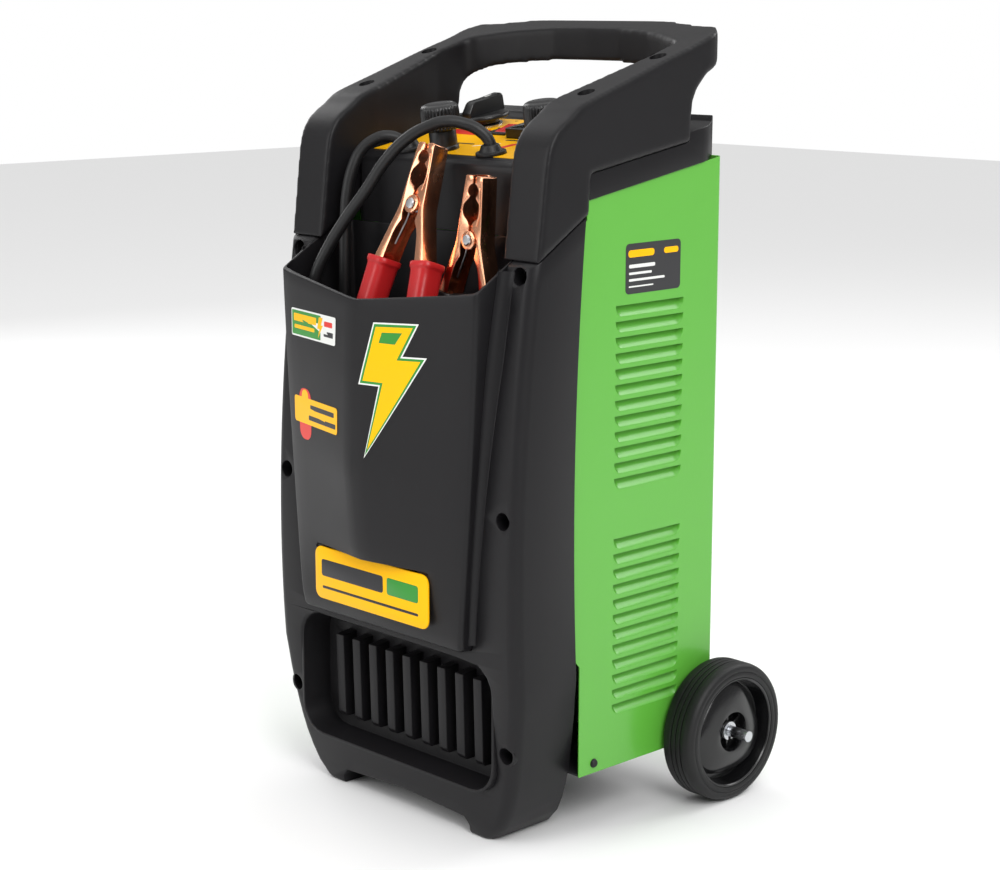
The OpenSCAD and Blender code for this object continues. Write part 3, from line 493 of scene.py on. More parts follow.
print_white = finish("print_white", (0.78, 0.79, 0.76), 0.35, depth=0.008, dust=0.1, scuffs=0.05,
                     worn=(0.70, 0.70, 0.66))
print_red = finish("print_red", (0.68, 0.02, 0.008), 0.35, depth=0.008, dust=0.1, scuffs=0.05)
print_dark = finish("print_dark", (0.008, 0.008, 0.010), 0.38, depth=0.008, dust=0.1, scuffs=0.05)
label_grey = finish("label_grey", (0.022, 0.022, 0.024), 0.4, depth=0.01, dust=0.1, scuffs=0.05)
zinc_steel = finish("zinc_steel", (0.56, 0.575, 0.60), 0.26, metal=1.0, grain=600, depth=0.02,
                    extra=brushed("Z"), worn=(0.45, 0.45, 0.44), dust=0.3)
black_screw = finish("black_screw", (0.016, 0.016, 0.017), 0.35, metal=0.6, grain=900, depth=0.03)
hub_plastic = finish("hub_plastic", (0.004, 0.004, 0.0045), 0.2, grain=500, depth=0.01, extra=orange_peel,
                     dust=0.3, scuffs=0.15, spread=0.16)
tyre_rubber = finish("tyre_rubber", (0.0075, 0.0075, 0.008), 0.5, grain=1100, depth=0.06, dust=0.7,
                     scuffs=0.3,
                     worn=(0.014, 0.0135, 0.013), Specular_IOR_Level=0.35)
core_steel = finish("core_steel", (0.17, 0.17, 0.18), 0.45, metal=0.9, grain=300, depth=0.06,
                    extra=stripes("Y", 1.0, 0.5, 3.0), worn=(0.12, 0.09, 0.07))
copper_wire = finish("copper_wire", (0.42, 0.13, 0.045), 0.34, metal=0.85, grain=300, depth=0.25,
                     extra=stripes("Z", 2.0, 0.45, 2.5), worn=(0.24, 0.08, 0.03))
raw_aluminium = finish("raw_aluminium", (0.60, 0.61, 0.63), 0.35, metal=1.0, grain=500, depth=0.03,
                       extra=brushed("Y"), worn=(0.48, 0.48, 0.48))
brass = finish("brass", (0.70, 0.48, 0.17), 0.24, metal=1.0, grain=600, depth=0.02, extra=brushed("Z"),
               worn=(0.45, 0.30, 0.12))
fan_plastic = finish("fan_plastic", (0.016, 0.016, 0.018), 0.45, grain=900, depth=0.04, dust=0.9)
knob_plastic = finish("knob_plastic", (0.0055, 0.0055, 0.006), 0.3, grain=1300, depth=0.03, dust=0.4,
                      scuffs=0.2)
needle_paint = finish("needle_paint", (0.55, 0.03, 0.02), 0.4, depth=0.01)
rocker_red = finish("rocker_red", (0.50, 0.018, 0.015), 0.24, grain=1500, depth=0.01, Coat_Weight=0.3)
button_white = finish("button_white", (0.72, 0.71, 0.68), 0.32, grain=1500, depth=0.01)
cable_rubber = finish("cable_rubber", (0.0065, 0.0065, 0.007), 0.44, grain=700, depth=0.05, dust=0.5,
                      scuffs=0.2, worn=(0.012, 0.012, 0.0125), smudges=22.0, Specular_IOR_Level=0.4)
clamp_copper = finish("clamp_copper", (0.86, 0.42, 0.25), 0.20, metal=1.0, grain=350, depth=0.015,
                      extra=brushed("Z", 700.0, 0.5), worn=(0.60, 0.24, 0.12), dust=0.0, scuffs=0.1,
                      spread=0.2,
                      smudges=55.0)
grip_red = finish("grip_red", (0.46, 0.014, 0.016), 0.3, grain=260, depth=0.03, extra=orange_peel,
                  worn=(0.52, 0.025, 0.026), Specular_IOR_Level=0.35, dust=0.05, scuffs=0.12, smudges=40.0,
                  Subsurface_Weight=0.08, Subsurface_Scale=0.004)
grip_black = finish("grip_black", (0.006, 0.006, 0.0065), 0.36, grain=260, depth=0.03, extra=orange_peel,
                    dust=0.2, scuffs=0.12, smudges=40.0)
spring_steel = finish("spring_steel", (0.46, 0.46, 0.48), 0.28, metal=1.0, grain=500, depth=0.01)
meter_face = finish("meter_face", (0.74, 0.73, 0.68), 0.5, depth=0.01)
meter_window = finish("meter_window", (0.94, 0.96, 0.97), 0.06, grain=300, depth=0.004, dust=0.0,
                      scuffs=0.0,
                      spread=0.05, Transmission_Weight=1.0, IOR=1.46)

# ---- leads: each runs from its grommet down into the bin, round a coil and up into a grip ----
COIL_R, COIL_X, COIL_Z = 57.5, -42, 257
COIL_TURNS = 1.5
COIL_STEPS = 20       # points in one turn
LEAD_POS = dict(
    route=[(34, 90, 572), (33, 89, 583), (27, 84, 592), (17, 76, 598), (5, 64, 600), (-7, 53, 595),
           (-21, 43, 585), (-37, 34, 567), (-54, 26, 541), (-73, 18, 515), (-88, 11, 490), (-97, 4, 466),
           (-101, 0, 440), (-101, -3, 405), (-100, -5, 365), (-99.5, -5, 325), (-99.5, -5, 290),
           (-99.5, -5, 268)],
    coil_y=3,
    tail=[(15.5, 11, 270), (15, 9, 300), (9, 6, 335), (-3, 0, 368), (-15, -5, 394), (-22, -9, 416),
          (-23, -7, 424),
          (-22.3, -2.2, 437.5), (-20.9, 2.6, 451.5)])
LEAD_NEG = dict(
    route=[(-66, 86, 572), (-70, 80, 580), (-77, 71, 584), (-85, 62, 581), (-92, 53, 572), (-95, 46, 558),
           (-97, 41, 538), (-97, 38, 513), (-96, 36, 480), (-96, 35, 440), (-98, 33, 395), (-99.5, 31, 350),
           (-99.5, 30, 310), (-99.5, 30, 268)],
    coil_y=38,
    tail=[(15.5, 46, 270), (16, 44, 300), (18, 40, 335), (21, 36, 368), (23, 34, 390), (24.4, 34, 398),
          (27.6, 34.8, 410), (30.2, 35.5, 424)])


def coil_points(coil_y):
    """One and a half turns, down on the left and up on the right, a lead's width apart."""
    n = round(COIL_STEPS * COIL_TURNS)
    for i in range(n + 1):
        a = math.pi + math.tau * i / COIL_STEPS
        yield (COIL_X + COIL_R * math.cos(a), coil_y + LEAD_D * COIL_TURNS * (i / n - 0.5),
               COIL_Z + COIL_R * math.sin(a))


def lead(name, plan):
    points = plan["route"] + list(coil_points(plan["coil_y"])) + plan["tail"]
    curve = bpy.data.curves.new(name, "CURVE")
    curve.dimensions = "3D"
    curve.bevel_depth, curve.bevel_resolution, curve.resolution_u = LEAD_D / 2 * MM, 5, 6
    curve.use_fill_caps = True
    spline = curve.splines.new("BEZIER")
    spline.bezier_points.add(len(points) - 1)
    for knot, p in zip(spline.bezier_points, points):
        knot.co = at(*p)
        knot.handle_left_type = knot.handle_right_type = "AUTO"
    obj = bpy.data.objects.new(name, curve)
    bpy.context.scene.collection.objects.link(obj)
    return obj


lead_positive = dress(lead("lead_positive", LEAD_POS), cable_rubber,
                      stands_for=("lead_pos", "lead_pos_coil"))
lead_negative = dress(lead("lead_negative", LEAD_NEG), cable_rubber,
                      stands_for=("lead_neg", "lead_neg_coil"))

# ---- front shell ----
SCREW_ZS = (86, rim(0) * 0.6, rim(0) + 6)
GRILLE_Z, GRILLE_W, GRILLE_H = 104, 248, 112


def screw_places():
    for side in (-1, 1):
        for z in SCREW_ZS:
            yield side * (138 if z < 100 else 140), z


SHELL_W = blend_points([(0, 109), (14, 124), (40, 137), (67, 144.5), (100, 151), (130, 154.5), (165, 156),
                        (700, 156)], 4)


def shell_w(z):
    """Half width of the shell at a height."""
    for (z0, w0), (z1, w1) in zip(SHELL_W, SHELL_W[1:]):
        if z <= z1:
            return min(156, w0 + (w1 - w0) * (z - z0) / (z1 - z0))


def shell_ring(z, inset=0.0, back=None):
    """The shell seen from above at a height, from the middle of its front round to the back."""
    w, front, back, r = shell_w(z) - inset, face_y(z) + inset, back or back_y(z), 11 - inset / 2
    half = [(0, front), (w * 0.5, front)] + arc(w - r, front + r, r, -90, 0, 7) + [(w, back - 0.01),
            (w * 0.5, back)]
    return half + [(0, back)] + [(-x, y) for x, y in reversed(half[1:])]


def build_shell():
    rows = []
    for low, shrink in ((0.0, 2.6), (1.0, 0.8), (3.0, 0.0)):
        rows.append([(x, y, low) for x, y in shell_ring(low, shrink)])
    for k in range(1, 31):
        t = (k / 30) ** 1.1
        row = []
        for x, y in shell_ring(3 + (rim(20.8) - 3) * t):
            row.append((x, y, 3 + (rim(y) - 3) * t))
        rows.append(row)
    shell = skin("shell", rows, ring=True, ends=True)
    cut(shell, slab("mouth", rounded(GRILLE_W, GRILLE_H, 25, 0, GRILLE_Z), "Y", -5, 60))
    round_edges(shell, lambda a, b, p: a.y < -0.85 and abs(b.y) < 0.3 and abs(p.x) < 126 and p.z < 163,
                3.5, 4)
    hollow = []
    for k in range(25):
        z = 22 + (rim(22) - 26) * k / 24
        hollow.append([(x, y, 22 + (rim(y) - 26) * k / 24) for x, y in shell_ring(z, WALL, 104)])
    inside = skin("inside", hollow, ring=True, ends=True)
    bin_hole = both_sides([(bin_w(z) + 0.3, z) for z in range(171, 520, 24)])
    cut(shell, inside, slab("bin hole", bin_hole, "Y", -5, 30),
        slab("shoulder gap", [(-125.3, 388), (125.3, 388), (125.3, 620), (-125.3, 620)], "Y", 18, 120),
        slab("arch", [(-84, -5), (84, -5), (84, 8), (78, 14.5), (0, 18.5), (-78, 14.5), (-84, 8)], "Y", -5,
             120))
    for x, z in screw_places():
        cut(shell, slab("recess", arc(x, z, 7.2, 0, 345, 23), "Y", -5, 52),
            slab("hole", arc(x, z, 2.2, 0, 330, 11), "Y", 50, 60))
    soften(shell, 1.0, 2)
    for x, z in screw_places():
        tube = slab("tube", arc(x, z, 9.2, 0, 345, 23), "Y", face_y(z) + 2, 57)
        cut(tube, slab("bore", arc(x, z, 7.2, 0, 345, 23), "Y", 0, 51),
            slab("above", [(-5, rim(-5) - 0.6), (120, rim(120) - 0.6), (120, 700), (-5, 700)], "X", -170,
                 170))
        join(shell, smooth(tube))
    return shell


def build_grille():
    """The sunk grille: a well with a scooped lower lip and upright slats."""
    well = slab("grille", rounded(GRILLE_W + 6, GRILLE_H + 6, 28, 0, GRILLE_Z), "Y", 4, 38)
    cut(well, slab("hollow", rounded(GRILLE_W, GRILLE_H, 25, 0, GRILLE_Z), "Y", 0, 35))
    scoop = [(6, 44)] + arc(6, 82, 34, 270, 345, 8)[1:] + [(38, 74), (38, 44)]
    sill = slab("sill", scoop, "X", -114, 114)
    cut(sill, slab("fit", rounded(GRILLE_W + 1, GRILLE_H + 1, 25, 0, GRILLE_Z), "Y", 0, 60),
        how="INTERSECT")
    slots = [slab("slot", [(x - 6.3, 69), (x + 6.3, 69), (x + 6.3, 133), (x - 6.3, 133)], "Y", 28, 45)
             for x in [(i - 4.5) * 22.7 for i in range(10)]]
    cut(well, join(*slots))
    slats = []
    for i in range(9):
        x = (i - 4) * 22.7
        slat = slab("slat", [(19, 139), (21, 66), (24, 62), (38, 62), (38, 141)], "X", x - 5.1, x + 5.1)
        slats.append(soften(slat, 0.8, 3))
    return join(soften(well, 0.8, 2), smooth(sill), *slats)


shell_front = dress(join(build_shell(), build_grille()), shell_plastic,
                    stands_for=("front_shell",))
smooth(shell_front)


# ---- storage bin ----
def bin_tip(z):
    """Depth of the crease down the middle of the bin at a height."""
    places = [(168, -11), (190, -18), (215, -26), (252, -35), (320, -41), (400, -38.5), (457, -35),
              (520, -34)]
    for (z0, y0), (z1, y1) in zip(places, places[1:]):
        if z <= z1:
            return y0 + (y1 - y0) * (z - z0) / (z1 - z0)
    return places[-1][1]


def bin_ring(z, inset=0.0):
    """The bin seen from above at a height, from the middle of its front round to the back."""
    w, tip, corner, back = bin_w(z) - inset, bin_tip(z) + inset, -13 + inset, 68 - inset
    if z < 190:
        corner += (190 - z) * 0.12
    lean = math.atan2(corner - tip, w)
    front = [(w * k / 8, tip + (corner - tip) * k / 8) for k in (0, 1, 2, 3, 4, 5, 6, 7)]
    front[0] = (0.0, tip + 0.5)
    turn = arc(w - 4.2, corner + 4.2, 4.2, math.degrees(lean) - 90, 0, 5)
    side = [(w, y) for y in (corner + 8, 2, 10, 20, 32, 46, 58)] + [(w - 2, back - 0.6), (w - 5, back)]
    half = front + turn + side + [(w * 0.5, back)]
    return half + [(0, back)] + [(-x, y) for x, y in reversed(half[1:])]


def bin_rows(inset=0.0, low=170.0, foot=3.0):
    rows = []
    for step, shrink in ((0.0, foot), (1.2, foot * 0.4), (3.4, 0.0)):
        rows.append([(x, y, low + step) for x, y in bin_ring(low + step, inset + shrink)])
    for k in range(1, 29):
        row = []
        for x, y in bin_ring(low + 6 + (rim(-20) - low - 6) * k / 28, inset):
            top = min(rim(y), side_top(0) - 19)
            row.append((x, y, low + 3.4 + (top - low - 3.4) * k / 28))
        rows.append(row)
    return rows


def build_bin():
    outer = skin("bin", bin_rows(), ring=True, ends=True)
    hollow = bin_rows(2.6, 186.0)
    hollow.append([(x, y, 640) for x, y, _ in hollow[-1]])
    cut(outer, skin("hollow", hollow, ring=True, ends=True))
    pocket = slab("pocket", rounded(152, 51, 9, 0, 209.5), "Y", -60, -18.6)
    smile = [(-74, 196)] + [(76 * math.sin(math.radians(a)), 219 - 43 * math.cos(math.radians(a)))
                            for a in range(-60, 61, 8)] + [(74, 196)]
    cut(outer, pocket, slab("smile", smile, "Y", -60, -18.7))
    return soften(outer, 0.9, 3, 28)


storage = dress(build_bin(), shell_plastic, stands_for=("storage_bin",))


def build_flare():
    """The hollow curve where the bin grows out of the shell's face."""
    rows = []
    for z in range(176, 492, 12):
        w, y = bin_w(z), face_y(z)
        reach = min(9.0, 5 + y * 0.4)
        bend = [(w + reach * (1 - math.cos(t)), y - reach * (1 - math.sin(t)) - 0.05, z)
                for t in [math.pi / 2 * k / 6 for k in range(7)]]
        rows.append([(w - 1, y - reach, z)] + bend + [(w + reach + 0.5, y + 0.6, z), (w - 1, y + 0.6, z)])
    return skin("flare", rows, ring=True, ends=True)


flare = build_flare()
flare = dress(smooth(join(flare, mirrored(flare, "flare left"))), shell_plastic)
flare.name = "bin_flare"
storage.name, shell_front.name = "bin_moulding", "shell_moulding"


# ---- badge and stickers ----
def plate(name, outline, y, thick, material, width=0.3, body="case", stands_for=()):
    obj = slab(name, outline, "Y", y - thick, y)
    return dress(soften(obj, width, 2), material, body, stands_for)


plate("badge", rounded(148, 47, 8, 0, 209.5), -18.7, 2.2, badge_film, 0.8,
      stands_for=("badge_plate",))
for name, box, finish_of in (("badge_bar_long", (-24, 214.5, 82, 15), print_dark),
                             ("badge_bar_short", (42, 214.5, 40, 15), print_green),
                             ("badge_line", (-1, 197, 126, 2.4), print_dark)):
    x, z, w, h = box
    plate(name, rounded(w, h, min(2.5, h / 2.01), x, z), -20.9, 0.12, finish_of, 0.04)


def bin_face(x, z, lift):
    """A place on the bin's front at x and z, lifted off it."""
    tip = bin_tip(z)
    return (x, tip + (-13 - tip) * abs(x) / bin_w(z) - lift, z)


def sticker(name, outline, lift, material):
    """A thin film on the bin's front: its outline, drawn in x and z, follows the face."""
    film = slab(name, outline, "Y", 0, 0.1)
    take(film)
    bpy.ops.object.mode_set(mode="EDIT")
    bpy.ops.mesh.select_all(action="SELECT")
    for middle in range(180, 460, 20):
        bpy.ops.mesh.select_all(action="SELECT")
        bpy.ops.mesh.bisect(plane_co=at(0, 0, middle), plane_no=(0, 0, 1))
    bpy.ops.object.mode_set(mode="OBJECT")
    for vertex in film.data.vertices:
        p = vertex.co / MM
        deep = p.y + FLANGE
        vertex.co = at(*bin_face(p.x, p.z, lift - deep))
    return dress(film, material)


BOLT = [(24, 438), (63, 440), (47, 412), (71, 413), (16.5, 332), (32, 391), (11.5, 391)]


def grown(outline, d):
    """An outline moved outwards by d, corner by corner."""
    out, n = [], len(outline)
    area = sum(outline[i][0] * outline[(i + 1) % n][1] - outline[(i + 1) % n][0] * outline[i][1]
               for i in range(n))
    for i in range(n):
        before, here, after = (Vector(outline[(i + k) % n]) for k in (-1, 0, 1))
        a, b = (here - before).normalized(), (after - here).normalized()
        side = -1 if area < 0 else 1
        na, nb = Vector((a.y, -a.x)) * side, Vector((b.y, -b.x)) * side
        middle = (na + nb).normalized()
        out.append(tuple(here + middle * min(2.2 * d, d / max(0.2, middle.dot(na)))))
    return out


sticker("bolt_edge", grown(BOLT, 2.9), 0.12, print_white)
sticker("bolt_border", grown(BOLT, 1.6), 0.22, print_green)
sticker("bolt", grown(BOLT, -0.4), 0.32, badge_film)
tilt = math.radians(-1)
sticker("tag_edge", rounded(78, 24, 2, -67.5, 427), 0.12, print_white)
sticker("tag_green", rounded(51, 21, 1, -79.8, 427), 0.22, print_green)
sticker("tag_line_top", rounded(40, 6.5, 1, -82, 431.5), 0.32, badge_film)
sticker("tag_line_low", rounded(36, 3.2, 1, -83, 423.5), 0.32, badge_film)
sticker("tag_spark", [(-57, 436), (-50.5, 436), (-53.5, 429.5), (-50, 429.5), (-58.5, 418), (-56, 426),
                      (-60, 426)],
        0.34, badge_film)
sticker("tag_red", rounded(14, 4.5, 0.8, -41, 431.5), 0.22, print_red)
sticker("tag_grey", rounded(16, 4.5, 0.8, -40.5, 423), 0.22, print_dark)
sticker("seal_edge", rounded(22, 45, 9, -84, 348), 0.12, print_red)
sticker("seal_band", rounded(80, 23, 3, -64, 351), 0.22, badge_film)
sticker("seal_ring", rounded(12, 12, 5.9, -84, 363.5), 0.22, badge_film)
for k, (w, z) in enumerate(((44, 355.5), (50, 346))):
    sticker(f"seal_line_{k}", rounded(w, 4.2, 0.8, -52, z), 0.32, print_dark)

# ---- top cover ----
def arm_inside(d):
    """Inner faces of the handle's arms seen from above, on the right."""
    return [(115 - d, 0), (115 - d, 90), (120 - d, 120), (126 - d, 156), (131 - d, 180), (129 - d, 207)]


def build_cover():
    back = 252.5
    band = slab("band", [(84, side_top(84) + 0.1), (84, side_top(84) + 21.4), (206, side_top(206) + 21.4),
                         (206, deck(206)), (back - 9, deck(back - 9)), (back - 4, deck(back) + 4),
                         (back, deck(back) + 2),
                         (back, side_top(back) + 0.1)], "X", -154, 154)
    cut(band, slab("plan", both_sides([(154, 0), (154, 229), (140, back + 0.1)]), "Z", 500, 700),
        how="INTERSECT")
    round_edges(band, lambda a, b, p: abs(a.x) > 0.7 and b.y > 0.9
                or abs(a.x) > 0.9 and b.y > 0.5 and b.z < 0.5, 6, 4)
    well = slab("well", [(60, side_top(80) - 30), (60, deck(60) - 3), (190, deck(190) - 3), (190, 420)],
                "X", -112, 112)
    cut(band, well)
    soften(band, 1.1, 3)
    dome = slab("dome", [(67, side_top(0) - 18.6), (67, deck(67)), (250, deck(250)),
                         (250, side_top(240) + 4),
                         (71, side_top(0) - 18.6)], "X", -114.2, 114.2)
    round_edges(dome, lambda a, b, p: a.y < -0.9 and b.z > 0.9
                or a.y < -0.9 and abs(b.x) > 0.9 and p.z > 520, 9, 6)
    round_edges(dome, lambda a, b, p: a.z > 0.9 and abs(b.x) > 0.9 and p.y > 80, 2.0, 3)
    cut(dome, slab("hollow", [(70, 480), (70, deck(70) - 9), (78, deck(78) - 3), (260, deck(260) - 3),
                              (260, 480)], "X", -111, 111))
    for x, y, r in ((-30, 95, 5.2), (2, 161, 5.2), (34, 90, 8.2), (-66, 86, 8.2), (-75, 186, 4.2),
                    (78, 104, 6.1)):
        cut(dome, move(turned("hole", [(0, -20), (r, -20), (r, 20), (0, 20)], 32), on_deck(x, y)))
    cut(dome, move(turned("meter hole", [(0, -20), (23.8, -20), (23.8, 20), (0, 20)], 48),
                   on_deck(74, 158)))
    hole = slab("rocker hole", [(-9.7, 119.3), (9.7, 119.3), (9.7, 144.7), (-9.7, 144.7)], "Z", -15, 15)
    cut(dome, move(hole, on_deck(-27, 168)))
    wings = []
    for side in (1, -1):
        wing = slab("wing", both_sides([(1, 1)])[:0] + [(side * x, y) for x, y in
                    [(113, 150), (125, 156), (130, 180), (128, 207), (113, 207)]], "Z", side_top(150),
                    deck(207))
        roof = slab("roof", [(140, side_top(140)), (140, deck(140)), (210, deck(210)),
                             (210, side_top(210))], "X", -140, 140)
        wings.append(cut(wing, roof, how="INTERSECT"))
    return join(band, smooth(dome), *wings)


cover = dress(build_cover(), shell_plastic, stands_for=("top_cover",))
cover.name = "deck_cover"


# ---- handle ----
TOP_Z = 683
HANDLE_VOXEL, RELAX_STEPS = 1.9, 14      # together these set how round the handle's edges are


def arm_side():
    """Side view of the handle."""
    front = [(29, 526), (35, 574), (40.5, 591), (50, 602), (64, 611), (77, 620), (113, 632.5), (146, 643.8),
             (180, 655.5), (215, 666.5), (233, 673.5)]
    crown = [(250, TOP_Z - 3), (259, TOP_Z), (267, TOP_Z - 4), (269, TOP_Z - 14), (267.5, TOP_Z - 26)]
    under = [(243, TOP_Z - 35), (224, TOP_Z - 44), (213, TOP_Z - 55), (207.5, TOP_Z - 66), (206, TOP_Z - 78),
             (206, side_top(206) + 21.6), (85, side_top(85) + 21.6), (84, rim(84) + 0.15)]
    return blend_points(front, 3) + crown + under + [(25, rim(25) + 0.15)]


def loop_plan():
    outer = [(157, 20), (157, 228)] + arc(135, 228, 22, 10, 70, 4) + [(118, 251), (89, 258), (50, 264),
            (20, 267), (0, 268)]
    inner = arm_inside(0)[:-1] + arc(117, 207, 13, 0, 75, 4) + [(100, 227), (79, 233), (40, 239), (0, 240)]
    return both_sides(outer), both_sides(inner)


def build_handle():
    """Both halves of the handle as one solid, remeshed and relaxed, which rounds every edge."""
    block = slab("handle", arm_side(), "X", -157, 157)
    outer, inner = loop_plan()
    cut(block, slab("outer", outer, "Z", 440, 700), how="INTERSECT")
    cut(block, slab("inner", inner, "Z", 400, 720))
    modify(block, "REMESH", mode="VOXEL", voxel_size=HANDLE_VOXEL * MM)
    modify(block, "SMOOTH", factor=0.5, iterations=RELAX_STEPS)
    modify(block, "DECIMATE", decimate_type="COLLAPSE", ratio=0.32)
    for x, y, z in ((137, 98, 627), (142, 178, 654.5)):
        for side in (-1, 1):
            cut(block, move(turned("recess", [(0, -10), (7.2, -10), (7.2, 60), (0, 60)], 32),
                            Matrix.Translation(at(side * x, y, z))))
    return smooth(block, 50)


handle = dress(build_handle(), shell_plastic, stands_for=("handle_upper", "handle_lower"))
handle.name = "handle_moulding"


# ---- steel side panels ----
LOUVRE_BACK, LOUVRE_L, LOUVRE_PITCH, LOUVRE_N = 204, 84, 13.3, 12
LOUVRE_H, LOUVRE_DEEP, LOUVRE_R = 9.2, 5.6, 8.0
LOUVRE_TOPS = (SIDE_H - 117.5, SIDE_H - 316)


def louvre_foot(y):
    """Height of a louvre's lower edge above its lowest line, rising at its round ends."""
    from_end = min(y - (LOUVRE_BACK - LOUVRE_L), LOUVRE_BACK - y)
    if from_end >= LOUVRE_R:
        return 0.0
    return LOUVRE_H * (1 - math.sqrt(max(0.0, 1 - (1 - from_end / LOUVRE_R) ** 2)))


def louvre_ys():
    ends = [LOUVRE_R * (1 - math.cos(math.radians(a))) for a in (0, 20, 40, 60, 75, 90)]
    front = LOUVRE_BACK - LOUVRE_L
    return [front + e for e in ends] + [front + LOUVRE_L / 2] + [LOUVRE_BACK - e for e in reversed(ends)]


def build_side():
    out, deep = CASE_HALF, CASE_HALF - SHEET
    plan = [(deep, 40), (deep, CASE_D - 5)] + arc(out - 5, CASE_D - 5, 5 - SHEET, 15, 90, 5) \
        + [(out - 22, CASE_D - SHEET), (out - 22, CASE_D)] + arc(out - 5, CASE_D - 5, 5, 90, 0,
                8) + [(out, 40)]
    sheet = slab("sheet", plan, "Z", 40, 640)
    outline = [(80, 52), (CASE_D + 1, 52), (CASE_D + 1, side_top(CASE_D + 1)), (85, side_top(85)),
               (85, rim(84) - 5),
               (58, rim(58) - 5), (58, 175), (80, 150)]
    cut(sheet, slab("outline", outline, "X", 100, 170), how="INTERSECT")
    flange = slab("flange", [(58, 172), (59.2, 172), (59.2, rim(58) - 5), (58, rim(58) - 5)], "X", 127,
                  CASE_HALF)
    slots, scoops = [], []
    ys = louvre_ys()
    for top in LOUVRE_TOPS:
        for i in range(LOUVRE_N):
            z = top - i * LOUVRE_PITCH
            foot = [(y, z - LOUVRE_H + louvre_foot(y)) for y in ys[1:-1]]
            slots.append(slab("slot", [(ys[0], z)] + foot + [(ys[-1], z)], "X", 148, 156))
            rows = []
            for t in (0.0, 0.12, 0.3, 0.5, 0.72, 1.0):
                deep = LOUVRE_DEEP * math.sin(math.pi / 2 * t) ** 1.2
                row = []
                for y in ys:
                    low = z - LOUVRE_H + louvre_foot(y)
                    rise = min(1.0, (z - low) / LOUVRE_H * 1.6)
                    row.append((CASE_HALF - 0.15 - deep * rise, y, low + (z - 0.4 - low) * t))
                rows.append(row)
            scoops.append(skin("scoop", rows))
    cut(sheet, join(*slots))
    louvres = join(*scoops)
    edit(louvres, lambda: bpy.ops.mesh.select_all(action="SELECT"))
    modify(louvres, "SOLIDIFY", thickness=1.0 * MM, offset=-1.0)
    soften(sheet, 0.35, 2, 40, clamp=True)
    modify(sheet, "WEIGHTED_NORMAL", keep_sharp=True)
    return join(sheet, flange, smooth(louvres, 50))


right_panel = build_side()
left_panel = mirrored(right_panel, "panel_left")
right_panel.name = "panel_right"
dress(right_panel, green_paint, stands_for=("side_panel_right",))
dress(left_panel, green_paint, stands_for=("side_panel_left",))


def side_film(name, outline, lift, material):
    return dress(slab(name, outline, "X", CASE_HALF, CASE_HALF + lift), material)


side_film("rating_label", rounded(68, 42, 4, 165, 482), 0.15, label_grey)
for name, box, paint in (("rating_bar", (150, 494.5, 32, 6), badge_film),
                         ("rating_mark", (187, 494.5, 18, 5), badge_film),
                         ("rating_line_0", (151, 484, 32, 3), print_white),
                         ("rating_line_1", (149, 478, 28, 2), print_white),
                         ("rating_line_2", (157, 472.5, 44, 2), print_white),
                         ("rating_line_3", (150, 467, 30, 1.2), print_white)):
    y, z, w, h = box
    side_film(name, rounded(w, h, h / 2.2, y, z), 0.22, paint)

# ---- fittings on the deck ----
TERMINALS, GROMMETS = ((-30, 95), (68, 123)), ((34, 90), (-66, 86))
SELECTOR, RESET, ROCKER, METER = (-75, 186), (88, 168), (-27, 168), (22, 172)


def flat(name, outline, low, high):
    """A slab whose outline is drawn about the frame's origin, for a place on the deck or a clamp."""
    return slab(name, [(a, b + FLANGE) for a, b in outline], "Z", low, high)


def upright(name, outline, low, high):
    """The same, drawn in x and z, from low to high along Y."""
    return slab(name, outline, "Y", low + FLANGE, high + FLANGE)


def rings(name, rows):
    """A closed form through rings of (x, y, z) points about the frame's origin."""
    return skin(name, [[(x, y + FLANGE, z) for x, y, z in row] for row in rows], ring=True, ends=True)


def film(name, outline, lift, high, material):
    return dress(move(flat(name, outline, lift, high), on_deck(0, 0)), material)


def along_deck(x, y):
    """A place on the deck as drawn flat, seen square on from above the deck."""
    return x, y / math.cos(math.radians(SLOPE_DEG))


edge = blend_points([(109, 82), (112, 120), (119, 170), (122.6, 212)], 4)
sheet = flat("deck_label", [along_deck(x, y) for x, y in both_sides(edge)], 0.05, 0.45)
for (x, y), r in [(p, 13.3) for p in TERMINALS] + [(p, 13.55) for p in GROMMETS] + [(SELECTOR, 16.3),
        (RESET, 9.3)]:
    a, b = along_deck(x, y)
    cut(sheet, flat("hole", arc(a, b, r, 0, 354, 59), -3, 3))
for (x, y), w, h in ((ROCKER, 23.6, 31.6), (METER, 56.6, 56.6)):
    a, b = along_deck(x, y)
    cut(sheet, flat("hole", rounded(w, h, 0.5, a, b), -3, 3))
sheet = dress(move(sheet, on_deck(0, 0)), badge_film, stands_for=("panel_overlay",))
sheet.name = "deck_label"

film("deck_wedge", [(-106, 152), (-46, 150), (-40, 160), (-50, 172), (-104, 166)], 0.45, 0.55, print_red)
film("deck_flash", [(16, 92), (22, 128), (40, 140), (42, 134), (28, 124), (24, 92)], 0.45, 0.55, print_red)
film("deck_line_left", [(-12, 112), (8, 126), (8, 128.5), (-12, 114.5)], 0.45, 0.55, print_white)
film("deck_line_right", [(60, 150), (84, 150), (84, 152), (60, 152)], 0.45, 0.55, print_white)
for k in range(8):
    a = math.radians(200 - 31 * k)
    x, y = along_deck(SELECTOR[0] + 28.5 * math.cos(a), SELECTOR[1] + 28.5 * math.sin(a))
    if x > -112:
        film(f"selector_mark_{k}", arc(x, y, 1.6, 0, 330, 11), 0.45, 0.55, print_dark)
for k, (x, y, w, h) in enumerate(((-30, 118, 26, 3), (68, 100, 26, 3), (22, 138, 40, 3),
                                  (-27, 190, 20, 2.4), (88, 152, 18, 2.4))):
    a, b = along_deck(x, y)
    film(f"deck_bar_{k}", rounded(w, h, h / 2.1, a, b), 0.45, 0.55, print_dark)


